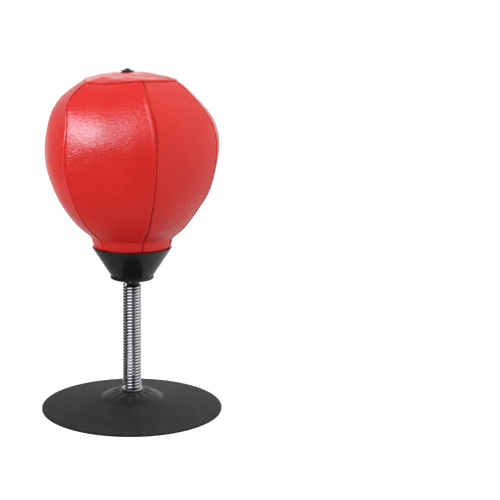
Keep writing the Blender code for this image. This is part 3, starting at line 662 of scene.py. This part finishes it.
def panel_relief(index, corners, over, phase, across, from_seam, from_cap):
    """How far a panel's leather stands out: folds at its seams and its cap, and a welt along the lip."""
    along = corners[:, 2]
    pucker = np.cos(along / STITCH_PITCH * math.tau + phase) * fading(from_seam, PUCKER_REACH)
    gather_drift = DRIFT * np.sin(along / GATHER_DRIFT_LENGTH + phase)
    gather = np.cos(along / GATHER_LENGTH + gather_drift) * fading(from_seam, GATHER_REACH)
    fold_drift = DRIFT * np.sin(across / FOLD_DRIFT_LENGTH + index)
    fold = np.cos(across / FOLD_LENGTH + fold_drift) * fading(from_cap, FOLD_REACH)
    welt = np.exp(-(((from_seam - WELT_MIDDLE) / WELT_WIDTH) ** 2)) * over
    rise = unevenness(corners, PANEL_WAVES, PANEL_SEED)
    return rise + PUCKER_HEIGHT * pucker + GATHER_HEIGHT * gather + FOLD_HEIGHT * fold + WELT_HEIGHT * welt


def make_panel(index):
    """A gore from the hem to the cap. Its edges turn in, each over or under its neighbour's."""
    heights, length = arc_heights(PANEL_ROWS)
    spread = np.linspace(-1.0, 1.0, PANEL_COLUMNS)
    off_middle = np.sign(spread) * (1.0 - (1.0 - np.abs(spread)) ** PANEL_CROWDING)
    off, height = np.meshgrid(off_middle, heights)
    left = seam_angle(index, height)
    right = seam_angle(index + 1, height)
    half = (right - left) / 2
    middle = (left + right) / 2
    radius = panel_radius(off, half, middle + half * off, height, PANEL_FLATNESS[index])
    angle = middle + (half - SEAM_GAP / radius) * off
    corners = about_axis(radius, angle, height).reshape(-1, 3)
    normals = outward(corners, PANEL_ROWS, PANEL_COLUMNS)

    from_seam = ((1.0 - np.abs(off)) * half * radius).ravel()
    from_cap = np.repeat(np.linspace(length, 0.0, PANEL_ROWS), PANEL_COLUMNS)
    at_right = off.ravel() > 0
    over = np.where(at_right, index != (LIP_SWAP_SEAM - 1) % PANELS, index == LIP_SWAP_SEAM)
    tucked = SEAM_TUCK * fading(from_seam, SEAM_TUCK_REACH)
    depth = np.hypot(np.where(over, rolled_depth(from_seam), tucked), rolled_depth(from_cap))

    phase = np.where(at_right, 1.0, 2.0) + index * 3.0  # no two edges pucker alike
    across = (half * off * radius).ravel()
    rise = panel_relief(index, corners, over, phase, across, from_seam, from_cap)
    shown = smooth_step((height.ravel() - RIM_Z) / (6 * MM))
    rise *= shown * (1.0 - fading(from_cap, 3 * MM))
    corners += normals * (rise - depth)[:, None]
    corners[:, 2] -= cap_droop(angle.ravel()) * fading(from_cap, CAP_DROOP_REACH)

    grid = corners.reshape(PANEL_ROWS, PANEL_COLUMNS, 3)
    inward = -normals.reshape(PANEL_ROWS, PANEL_COLUMNS, 3) * SEAM_FLAP
    grid = np.concatenate([grid[:, :1] + inward[:, :1], grid, grid[:, -1:] + inward[:, -1:]], axis=1)
    grid = np.concatenate([grid, grid[-1:] - np.array([0.0, 0.0, SEAM_FLAP])], axis=0)
    faces = grid_faces(PANEL_ROWS + 1, PANEL_COLUMNS + 2)
    leather_shell(f"gore_{index + 1}", grid, faces, f"cover_panel_{index + 1}")


def cap_droop(angle):
    """How much lower the cap's edge hangs at an angle."""
    return CAP_DROOP * np.exp(-((angle_between(angle, CAP_DROOP_ANGLE) / CAP_DROOP_SPREAD) ** 2))


def cap_edge_radius(angle):
    """The cap's outline: a hexagon with its corners on the seams."""
    corners = [float(seam_angle(seam, CAP_EDGE_Z)) for seam in range(PANELS)]
    corners.append(corners[0] + math.tau)
    wrapped = np.mod(angle - corners[0], math.tau) + corners[0]
    radius = np.zeros_like(wrapped)
    for left, right, flatness in zip(corners, corners[1:], PANEL_FLATNESS):
        half = (right - left) / 2
        off = (wrapped - (left + right) / 2) / half
        inside = np.abs(off) <= 1.0
        held = np.clip(off, -1.0, 1.0)
        radius = np.where(inside, panel_radius(held, half, wrapped, CAP_EDGE_Z, flatness), radius)
    return radius


def make_cap():
    """The cap that closes the gores, puckered and turned in at its edge and pulled in at the valve."""
    angles = np.arange(CAP_SPOKES) * math.tau / CAP_SPOKES
    rings = 1.0 - (1.0 - np.linspace(0.0, 1.0, CAP_RINGS)) ** CAP_CROWDING
    ring, angle = np.meshgrid(rings, angles, indexing="ij")
    edge = cap_edge_radius(angle) + CAP_OVERHANG
    radius = CAP_HOLE_RADIUS + (edge - CAP_HOLE_RADIUS) * ring
    share = radius / edge
    edge_z = CAP_EDGE_Z + CAP_LIFT
    height = CROWN_Z - (CROWN_Z - edge_z) * share**CAP_DOME_POWER
    corners = about_axis(radius, angle, height).reshape(-1, 3)

    angle = angle.ravel()
    share = share.ravel()
    from_edge = (edge - radius).ravel()
    from_hole = radius.ravel() - CAP_HOLE_RADIUS
    rise = unevenness(corners, CAP_WAVES, CAP_SEED)
    rise *= smooth_step(from_hole / (8 * MM)) * (1.0 - fading(from_edge, 4 * MM))
    pucker = np.cos(angle * CAP_PUCKERS) * fading(from_edge, 2 * MM)
    corners[:, 2] += rise + CAP_PUCKER_HEIGHT * pucker - rolled_depth(from_edge)
    corners[:, 2] -= cap_droop(angle) * share**3
    sunk_side = np.clip(np.cos(angle - CAP_DROOP_ANGLE), 0.0, 1.0)
    corners[:, 2] -= CAP_SLACK * sunk_side * np.sin(math.pi * share)
    corners += np.outer(1.0 - smooth_step(share), NUB_SHIFT)

    grid = corners.reshape(CAP_RINGS, CAP_SPOKES, 3)
    under = grid[-1:] * np.array([CAP_UNDER_SHARE, CAP_UNDER_SHARE, 1.0]) - np.array([0.0, 0.0, CAP_LIFT])
    grid = np.concatenate([grid, under], axis=0)
    faces = [face[::-1] for face in grid_faces(CAP_RINGS + 1, CAP_SPOKES, wrap=True)]
    leather_shell("cap", grid, faces, "cover_cap", "cap_leather")


def seam_point(seam, height):
    """A point on a seam, at a height."""
    angle = seam_angle(seam, height)
    return about_axis(seam_radius(height) + lobes(angle, height), angle, height)


def unit(vector):
    return vector / np.linalg.norm(vector)


def stitch_path(seam, height):
    """A thread across a seam, deepest at its ends and a little aslant."""
    step = 0.3 * MM
    middle = seam_point(seam, height)
    up = unit(seam_point(seam, height + step) - seam_point(seam, height - step))
    across = unit(np.cross((0.0, 0.0, 1.0), middle))
    across = unit(across - up * across.dot(up))
    away = np.cross(across, up)
    path = []
    for share in (-1.0, -0.5, 0.0, 0.5, 1.0):
        sunk = STITCH_DEPTH + STITCH_SINK * share**2
        path.append(middle - away * sunk + (across * STITCH_REACH + up * STITCH_SLANT) * share)
    return path


def make_seam_stitches():
    """Short threads that bridge each seam, sunk between the turned-in edges."""
    heights, length = arc_heights(STITCH_SAMPLES)
    count = round(length / STITCH_PITCH)
    shares = (np.arange(count) + 0.5) / count
    places = np.interp(shares, np.linspace(0.0, 1.0, STITCH_SAMPLES), heights)
    threads = []
    for seam in range(PANELS):
        for height in places:
            if RIM_Z + 2 * MM <= height <= CAP_EDGE_Z - 1 * MM:
                threads.append(sweep(stitch_path(seam, height), STITCH_RADIUS, STITCH_SIDES))
    corners, faces = joined(threads)
    mesh_piece("seam_stitches", corners, faces, "head", "red_leather", "seam_thread")


def make_bladder():
    """The balloon inside, close under the cover, with its rounded foot in the collar."""
    thickness = 0.6 * MM
    gap = 2.6 * MM  # from the cover's outer face
    flat_side = 0.0  # the angle at which the ball is flattened most
    widest_half = math.radians(37.0)  # half the widest panel's angle
    neck_radius = 5.3 * MM
    top_radius = 0.87 * (high_of("cover_cap").x + 0.3 * MM)
    foot_radius = 30.6 * MM
    foot_z = RIM_Z + 8.75 * MM
    top_steps = 7
    side_steps = 60
    foot_steps = 12
    low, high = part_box("bladder")
    heights = np.linspace(CAP_EDGE_Z - 2 * MM, foot_z + 12 * MM, side_steps)
    outer = [(neck_radius, high.z)]
    for share in np.linspace(0.25, 0.85, top_steps):
        sunk = (high.z - heights[0]) * share**CAP_DOME_POWER
        outer.append((top_radius * share, high.z - sunk))
    for height in heights:
        outer.append((panel_radius(0.0, widest_half, flat_side, height) - gap, height))
    for turn in np.linspace(0.0, math.pi / 2, foot_steps):
        radius = max(foot_radius * math.cos(turn), TINY_RADIUS)
        outer.append((radius, foot_z - (foot_z - low.z) * math.sin(turn)))
    inner = [(max(radius - thickness, TINY_RADIUS), height) for radius, height in outer]
    inner[-1] = (TINY_RADIUS, low.z + thickness)
    outline = [(*point, 0.0) for point in outer + inner[::-1]]
    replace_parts(turned("balloon", outline, "head", "bladder_rubber", SMALL_STEPS), "bladder")


# ---------------------------------------------------------------- spring

SPRING_LOW_Z = low_of("spring_lower_end").z
SPRING_HIGH_Z = high_of("spring_upper_end").z
SPRING_RADIUS = high_of("spring_lower_end").x
WIRE_RADIUS = 1.25 * MM
SPRING_TURNS = 34
SPRING_TOP_ANGLE = math.radians(-140.0)
SPRING_RISE = SPRING_HIGH_Z - SPRING_LOW_Z - 2 * WIRE_RADIUS
SPRING_STEPS_PER_TURN = 40
SPRING_SIDES = 14


def wire_path(turns):
    """Points on the wire's middle line, so many turns up from its lower end."""
    angle = SPRING_TOP_ANGLE - math.tau * (SPRING_TURNS - turns)
    height = SPRING_LOW_Z + WIRE_RADIUS + SPRING_RISE * turns / SPRING_TURNS
    return about_axis(SPRING_RADIUS - WIRE_RADIUS, angle, height)


def turns_at(height):
    """How many turns up from its lower end the wire is at a height."""
    return SPRING_TURNS * (height - SPRING_LOW_Z - WIRE_RADIUS) / SPRING_RISE


def make_coils(name, first, last, body):
    """The wire from one number of turns to another."""
    count = max(4, round((last - first) * SPRING_STEPS_PER_TURN))
    path = wire_path(np.linspace(first, last, count + 1))
    corners, faces = sweep(path, WIRE_RADIUS, SPRING_SIDES)
    return mesh_piece(name, corners, faces, body, "spring_chrome")


def make_spring():
    """The wire in stretches, each from halfway between two hinges to halfway between the next two."""
    heights = [joint["pos_m"][2] for joint in frame["joints"] if joint["name"] != "valve_plug_pull"]
    segments = len(heights) - 1
    half = (heights[1] - heights[0]) / 2
    edges = [heights[0] - half] + [height + half for height in heights]
    turns = [turns_at(edge) for edge in edges]
    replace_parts(make_coils("spring_foot_coils", 0.0, turns[0], "base"), "spring_lower_end")
    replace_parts(make_coils("spring_top_coils", turns[-1], SPRING_TURNS, "head"), "spring_upper_end")
    for index in range(len(heights)):
        piece = make_coils(f"spring_bend_{index + 1}", turns[index], turns[index + 1], None)
        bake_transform(piece)
        if index < segments:
            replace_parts(piece, f"spring_coils_{index + 1}")


# ---------------------------------------------------------------- cup, collar and valve

HUB_Z = low_of("foot_washer").z - 0.3 * MM
HUB_RADIUS = high_of("foot_washer").x + 1.2 * MM
DOME_POWER = 1.8  # above 1, the dome is flat at its hub and steep at its foot
DOME_THICKNESS = 4.6 * MM
DOME_FOOT_THICKNESS = 2.4 * MM
DOME_FOLDS = 13
DOME_FOLD_DEPTH = 0.45 * MM
DOME_FOLD_BIAS = 0.6  # so that the valleys are deeper than the ridges are high
DOME_FOLD_END = 24 * MM  # from the axis
SKIRT_EDGE_Z = 1.8 * MM
SKIRT_SAG = 0.5 * MM
SKIRT_WAVE_HEIGHT = 0.18 * MM
SKIRT_WAVELENGTH = 40 * MM
RIM_FLAT = 6 * MM  # how wide the rim stands on the desk


def shape_cup(corners):
    """Folds that fan out from the hub over the dome, and the skirt's slight unevenness."""
    radius = np.hypot(corners[:, 0], corners[:, 1])
    angle = np.arctan2(corners[:, 1], corners[:, 0])
    on_top = smooth_step((corners[:, 2] - 3 * MM) / (4 * MM))
    fan = np.cos(angle * DOME_FOLDS) * smooth_step((radius - HUB_RADIUS) / (2 * MM))
    fan *= 1.0 - smooth_step((radius - DOME_FOLD_END / 2) / (DOME_FOLD_END / 2))
    skirt = smooth_step((radius - DOME_RADIUS) / (8 * MM))
    skirt *= smooth_step((CUP_RADIUS - radius) / (10 * MM))
    corners = corners.copy()
    corners[:, 2] += DOME_FOLD_DEPTH * (fan - DOME_FOLD_BIAS * np.abs(fan)) * on_top
    waves = undulation(corners, SKIRT_WAVELENGTH, SKIRT_SEED)
    corners[:, 2] += SKIRT_WAVE_HEIGHT * waves * skirt * on_top
    return corners


def dome_arc(top, foot):
    """Points from the hub down to the dome's foot, steeper and steeper."""
    points = []
    for step in range(CURVE_STEPS + 1):
        share = step / CURVE_STEPS
        radius = HUB_RADIUS + (DOME_RADIUS - HUB_RADIUS) * share
        points.append((radius, foot + (top - foot) * (1.0 - share**DOME_POWER), 0.0))
    return points


def skirt_curve():
    """Points along the skirt, which sags a little below a straight cone."""
    points = []
    for step in range(1, CURVE_STEPS):
        share = step / CURVE_STEPS
        radius = DOME_RADIUS + (CUP_RADIUS - DOME_RADIUS) * share
        drop = SKIRT_SAG * 4.0 * share * (1.0 - share)
        points.append((radius, DOME_FOOT_Z + (SKIRT_EDGE_Z - DOME_FOOT_Z) * share - drop, 0.0))
    return points


def make_cup():
    """A domed hub and a skirt that comes down to a flat rim."""
    outline = [
        (SCREW_BORE_RADIUS, HUB_Z, 0.4 * MM),
        *dome_arc(HUB_Z, DOME_FOOT_Z),
        *skirt_curve(),
        (CUP_RADIUS, SKIRT_EDGE_Z, 0.7 * MM),
        (CUP_RADIUS, 0.0, 0.4 * MM),
        (CUP_RADIUS - RIM_FLAT, 0.0, 0.4 * MM),
        *reversed(dome_arc(HUB_Z - DOME_THICKNESS, DOME_FOOT_Z - DOME_FOOT_THICKNESS)),
        (SCREW_BORE_RADIUS, HUB_Z - DOME_THICKNESS, 0.4 * MM),
    ]
    piece = turned("cup", outline, "base", "cup_rubber", CUP_STEPS, shape_cup)
    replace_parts(piece, "suction_cup")


def make_foot_washer():
    low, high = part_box("foot_washer")
    bore = 5.0 * MM
    outline = [
        (bore, high.z, 0.2 * MM),
        (high.x, high.z, 0.6 * MM),
        (high.x, low.z, 0.4 * MM),
        (bore, low.z, 0.2 * MM),
    ]
    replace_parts(turned("foot_ring", outline, "base", "zinc_steel"), "foot_washer")


def make_collar():
    """A funnel with a bead round its foot."""
    foot = 20.0 * MM
    cone_z = COLLAR_FOOT_Z + 4.0 * MM
    bead_z = COLLAR_FOOT_Z + 2.6 * MM
    bead_under_z = COLLAR_FOOT_Z + 1.2 * MM
    floor_z = COLLAR_FOOT_Z + 3.0 * MM
    wall = 2.2 * MM
    slope = (RIM_RADIUS - foot) / (RIM_Z - cone_z)
    outline = [
        (RIM_RADIUS - wall, RIM_Z, 0.5 * MM),
        (RIM_RADIUS, RIM_Z, 0.6 * MM),
        (foot, cone_z, 0.8 * MM),
        (foot + 0.5 * MM, bead_z, 0.5 * MM),
        (foot + 0.3 * MM, bead_under_z, 0.8 * MM),
        (foot - 1.8 * MM, COLLAR_FOOT_Z, 1.0 * MM),
        (SCREW_BORE_RADIUS, COLLAR_FOOT_Z, 0.2 * MM),
        (SCREW_BORE_RADIUS, floor_z, 0.2 * MM),
        (RIM_RADIUS - wall - slope * (RIM_Z - floor_z), floor_z, 0.8 * MM),
    ]
    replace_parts(turned("funnel", outline, "head", "collar_plastic"), "collar")


def make_collar_stud():
    """A stud in the spring's top, with a flange that the collar stands on."""
    low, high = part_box("collar_stud")
    body = 5.55 * MM
    flange_z = high.z - 2.9 * MM
    outline = [
        (SCREW_BORE_RADIUS, high.z, 0.2 * MM),
        (high.x, high.z, 0.3 * MM),
        (high.x, flange_z, 0.4 * MM),
        (body, flange_z, 0.2 * MM),
        (body, low.z, 1.0 * MM),
        (SCREW_BORE_RADIUS, low.z, 0.3 * MM),
    ]
    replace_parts(turned("top_stud", outline, "head", "black_nylon"), "collar_stud")


def beside_axis(corners):
    """The valve stands a little off the axis, as the cap pulls it."""
    return corners + np.array(NUB_SHIFT)


def make_valve_seat():
    """A rubber grommet that the cap is held by, between two flanges."""
    low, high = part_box("valve_seat")
    bore = 1.8 * MM
    lip = 4.6 * MM
    waist = 4.8 * MM
    flange_z = high.z - 0.9 * MM
    under_z = low.z + 1.5 * MM
    outline = [
        (bore, high.z, 0.15 * MM),
        (lip, high.z, 0.3 * MM),
        (high.x, flange_z + 0.35 * MM, 0.3 * MM),
        (high.x, flange_z, 0.15 * MM),
        (waist, flange_z, 0.1 * MM),
        (waist, under_z, 0.1 * MM),
        (high.x, under_z, 0.2 * MM),
        (high.x, low.z, 0.4 * MM),
        (bore, low.z, 0.2 * MM),
    ]
    piece = turned("valve", outline, "head", "valve_rubber", SMALL_STEPS, beside_axis)
    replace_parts(piece, "valve_seat")


def make_valve_plug():
    """A plug with a low domed head and a stem."""
    low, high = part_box("valve_plug")
    stem = 1.5 * MM
    head_z = high.z - 1.2 * MM
    outline = [
        (TINY_RADIUS, high.z, 0.0),
        (high.x * 0.5, high.z, 0.3 * MM),
        (high.x, head_z + 0.4 * MM, 0.3 * MM),
        (high.x, head_z, 0.15 * MM),
        (stem, head_z, 0.1 * MM),
        (stem, low.z, 0.7 * MM),
        (TINY_RADIUS, low.z, 0.0),
    ]
    piece = turned("plug", outline, "plug", "valve_rubber", TINY_STEPS, beside_axis)
    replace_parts(piece, "valve_plug")


# ---------------------------------------------------------------- stage

# Reflections see a room that is dim in front and on the left, and light behind and on the right. For the
# room and for the floor: the direction in which it brightens, and from and to where and what light.
WORLD_SLOPE = (0.68, 0.52, 0.0)
WORLD_REFLECTION = (-0.4, 0.9, 0.04, 0.92)
FLOOR_SLOPE = (0.62, 0.46, 0.0)
FLOOR_REFLECTION = (-0.35, 0.35, 0.04, 0.75)
WORLD_AMBIENT = 0.95
FLOOR_GREY = 0.5
FLOOR_GLOW = 0.78  # what the camera sees the floor give off, besides what it scatters
FLOOR_HALF = 6.0
WHITE = (1.0, 1.0, 1.0, 1.0)
LAMP_TARGET = (0.0, 0.0, 0.2)
BALL_TARGET = (0.0, 0.0, 0.25)
COIL_TARGET = (0.0, 0.0, 0.1)
SIDE_TARGET = (0.0, 0.0, 0.22)
CAP_TARGET = (0.0, 0.0, 0.3)
WINDOW_COLOUR = (0.3, 0.95, 1.1)
SPRING_LAMP_COLOUR = (0.93, 0.95, 1.0)
WINDOW_PIECES = ("gore_4", "gore_5")  # the left and the front panel, which mirror the window


def make_camera():
    data = bpy.data.cameras.new("camera")
    data.lens = CAMERA_LENS
    data.sensor_width = CAMERA_SENSOR
    data.shift_x = CAMERA_SHIFT
    camera = bpy.data.objects.new("camera", data)
    camera.location = (0.0, -CAMERA_DISTANCE, CAMERA_HEIGHT)
    tilt = Matrix.Rotation(math.pi / 2 - CAMERA_PITCH, 3, "X")
    turn = Matrix.Rotation(-CAMERA_TURN, 3, "Y")
    camera.rotation_euler = (tilt @ turn).to_euler()
    bpy.context.scene.collection.objects.link(camera)
    bpy.context.scene.camera = camera


def softbox(name, azimuth, elevation, distance, size, radiance, target=LAMP_TARGET):
    """A rectangular lamp that faces the object. Azimuth 0 is the camera's side and 90 the right."""
    data = bpy.data.lights.new(name, "AREA")
    data.shape = "RECTANGLE"
    data.size, data.size_y = size
    data.energy = radiance * math.pi * size[0] * size[1]
    lamp = bpy.data.objects.new(name, data)
    turn = math.radians(azimuth)
    rise = math.radians(elevation)
    away = Vector((math.sin(turn) * math.cos(rise), -math.cos(turn) * math.cos(rise), math.sin(rise)))
    lamp.location = Vector(target) + away * distance
    lamp.rotation_euler = (-away).to_track_quat("-Z", "Y").to_euler()
    bpy.context.scene.collection.objects.link(lamp)
    return lamp


def sloped(nodes, links, place, slope, ends):
    """How light it is at a place or in a direction, by how far it lies along a slope."""
    product = nodes.new("ShaderNodeVectorMath")
    product.operation = "DOT_PRODUCT"
    product.inputs[1].default_value = slope
    links.new(place, product.inputs[0])
    light = map_range(nodes, links, product.outputs["Value"], ends)
    light.interpolation_type = "SMOOTHSTEP"
    return light.outputs["Result"]


def mixed(nodes, links, share, first, second):
    """The first shader where the share is 0, and the second where it is 1."""
    mix = nodes.new("ShaderNodeMixShader")
    links.new(share, mix.inputs["Fac"])
    links.new(first, mix.inputs[1])
    links.new(second, mix.inputs[2])
    return mix.outputs["Shader"]


def only_mirrored_by(lamp, pieces, colour=(1.0, 1.0, 1.0)):
    """Lets a lamp show as a reflection in some pieces, and nowhere else."""
    lamp.data.color = colour
    lamp.visible_diffuse = False
    lit = bpy.data.collections.new(lamp.name + "_lights")
    for piece in pieces:
        lit.objects.link(bpy.data.objects[piece])
    lamp.light_linking.receiver_collection = lit


def make_mirrored_lamps():
    """A window in the leather, a light strip and a wall in the coils, and the sky in the cap."""
    coils = [piece.name for piece in bpy.data.objects if piece.name.startswith("spring_")]
    coils = [name for name in coils if name not in frame["nodes"]]
    window = softbox("window", -52.0, 27.5, 1.2, (0.6, 0.85), 16.5, BALL_TARGET)
    beside = softbox("window_beside", -30.0, 32.0, 1.2, (0.5, 0.8), 2.0, BALL_TARGET)
    strip = softbox("spring_strip", -33.0, 5.0, 0.28, (0.3, 0.8), 1.9, COIL_TARGET)
    wall = softbox("spring_wall", 66.0, 5.0, 0.3, (0.3, 0.8), 0.62, COIL_TARGET)
    sky = softbox("sky_behind", -160.0, 22.0, 1.2, (1.0, 0.5), 0.4, CAP_TARGET)
    for lamp in (window, beside):
        only_mirrored_by(lamp, WINDOW_PIECES, WINDOW_COLOUR)
    for lamp in (strip, wall):
        only_mirrored_by(lamp, coils, SPRING_LAMP_COLOUR)
    only_mirrored_by(sky, ["cap"])


def make_soft_lamps():
    """Lamps that light the object and that it doesn't mirror."""
    softboxes = [
        softbox("key", -35.0, 30.0, 1.8, (1.4, 1.4), 1.2),
        softbox("top", 20.0, 80.0, 1.8, (1.6, 1.6), 0.25),
        softbox("left_side", -100.0, 0.0, 1.2, (0.8, 0.6), 2.9, SIDE_TARGET),
        softbox("right_side", 110.0, 0.0, 1.2, (0.8, 0.6), 1.3, SIDE_TARGET),
    ]
    for lamp in softboxes:
        lamp.visible_glossy = False


def background(nodes, strength):
    """White light of a strength."""
    light = nodes.new("ShaderNodeBackground")
    light.inputs["Color"].default_value = WHITE
    light.inputs["Strength"].default_value = strength
    return light


def make_world():
    """White all round for the camera, white behind and dim in front for reflections, soft for the rest."""
    world = bpy.data.worlds.new("studio")
    bpy.context.scene.world = world
    world.use_nodes = True
    nodes = world.node_tree.nodes
    links = world.node_tree.links
    nodes.clear()
    ambient = background(nodes, WORLD_AMBIENT)
    reflected = background(nodes, 1.0)
    seen = background(nodes, 1.0)
    direction = nodes.new("ShaderNodeTexCoord").outputs["Generated"]
    light = sloped(nodes, links, direction, WORLD_SLOPE, WORLD_REFLECTION)
    links.new(light, reflected.inputs["Strength"])
    ray = nodes.new("ShaderNodeLightPath").outputs
    unseen = mixed(nodes, links, ray["Is Glossy Ray"], ambient.outputs[0], reflected.outputs[0])
    both = mixed(nodes, links, ray["Is Camera Ray"], unseen, seen.outputs[0])
    output = nodes.new("ShaderNodeOutputWorld")
    links.new(both, output.inputs["Surface"])


def floor_material():
    """Pale and matt for the camera, dim in front and light behind for reflections."""
    material = bpy.data.materials.new("floor")
    material.use_nodes = True
    nodes = material.node_tree.nodes
    links = material.node_tree.links
    shader = nodes["Principled BSDF"]
    shader.inputs["Base Color"].default_value = (FLOOR_GREY, FLOOR_GREY, FLOOR_GREY, 1.0)
    shader.inputs["Roughness"].default_value = 1.0
    shader.inputs["Specular IOR Level"].default_value = 0.0
    shader.inputs["Emission Color"].default_value = WHITE
    ray = nodes.new("ShaderNodeLightPath").outputs
    glow = nodes.new("ShaderNodeMath")
    glow.operation = "MULTIPLY"
    glow.inputs[1].default_value = FLOOR_GLOW
    links.new(ray["Is Camera Ray"], glow.inputs[0])
    links.new(glow.outputs["Value"], shader.inputs["Emission Strength"])
    place = nodes.new("ShaderNodeTexCoord").outputs["Object"]
    light = sloped(nodes, links, place, FLOOR_SLOPE, FLOOR_REFLECTION)
    reflected = nodes.new("ShaderNodeEmission")
    links.new(light, reflected.inputs["Strength"])
    both = mixed(nodes, links, ray["Is Glossy Ray"], shader.outputs["BSDF"], reflected.outputs["Emission"])
    links.new(both, nodes["Material Output"].inputs["Surface"])
    return material


def make_floor():
    """A pale floor that keeps the object's shadow."""
    mesh = bpy.data.meshes.new("floor")
    corners = [(x * FLOOR_HALF, y * FLOOR_HALF, 0.0) for x, y in ((-1, -1), (1, -1), (1, 1), (-1, 1))]
    mesh.from_pydata(corners, [], [(0, 1, 2, 3)])
    mesh.materials.append(floor_material())
    floor = bpy.data.objects.new("floor", mesh)
    bpy.context.scene.collection.objects.link(floor)


def finish_cad_nodes():
    """Gives the CAD pieces that are shown as they are their own materials."""
    for node, finish in CAD_FINISHES.items():
        data = frame["nodes"][node].data
        data.materials.clear()
        data.materials.append(MATERIALS[finish])


def main():
    bpy.context.scene.view_settings.view_transform = "Standard"
    make_camera()
    make_world()
    make_floor()
    finish_cad_nodes()
    make_cup()
    make_foot_washer()
    make_spring()
    make_collar()
    make_collar_stud()
    for index in range(PANELS):
        make_panel(index)
    make_cap()
    make_seam_stitches()
    make_bladder()
    make_valve_seat()
    make_valve_plug()
    make_mirrored_lamps()
    make_soft_lamps()


main()
bpy.context.view_layer.update()
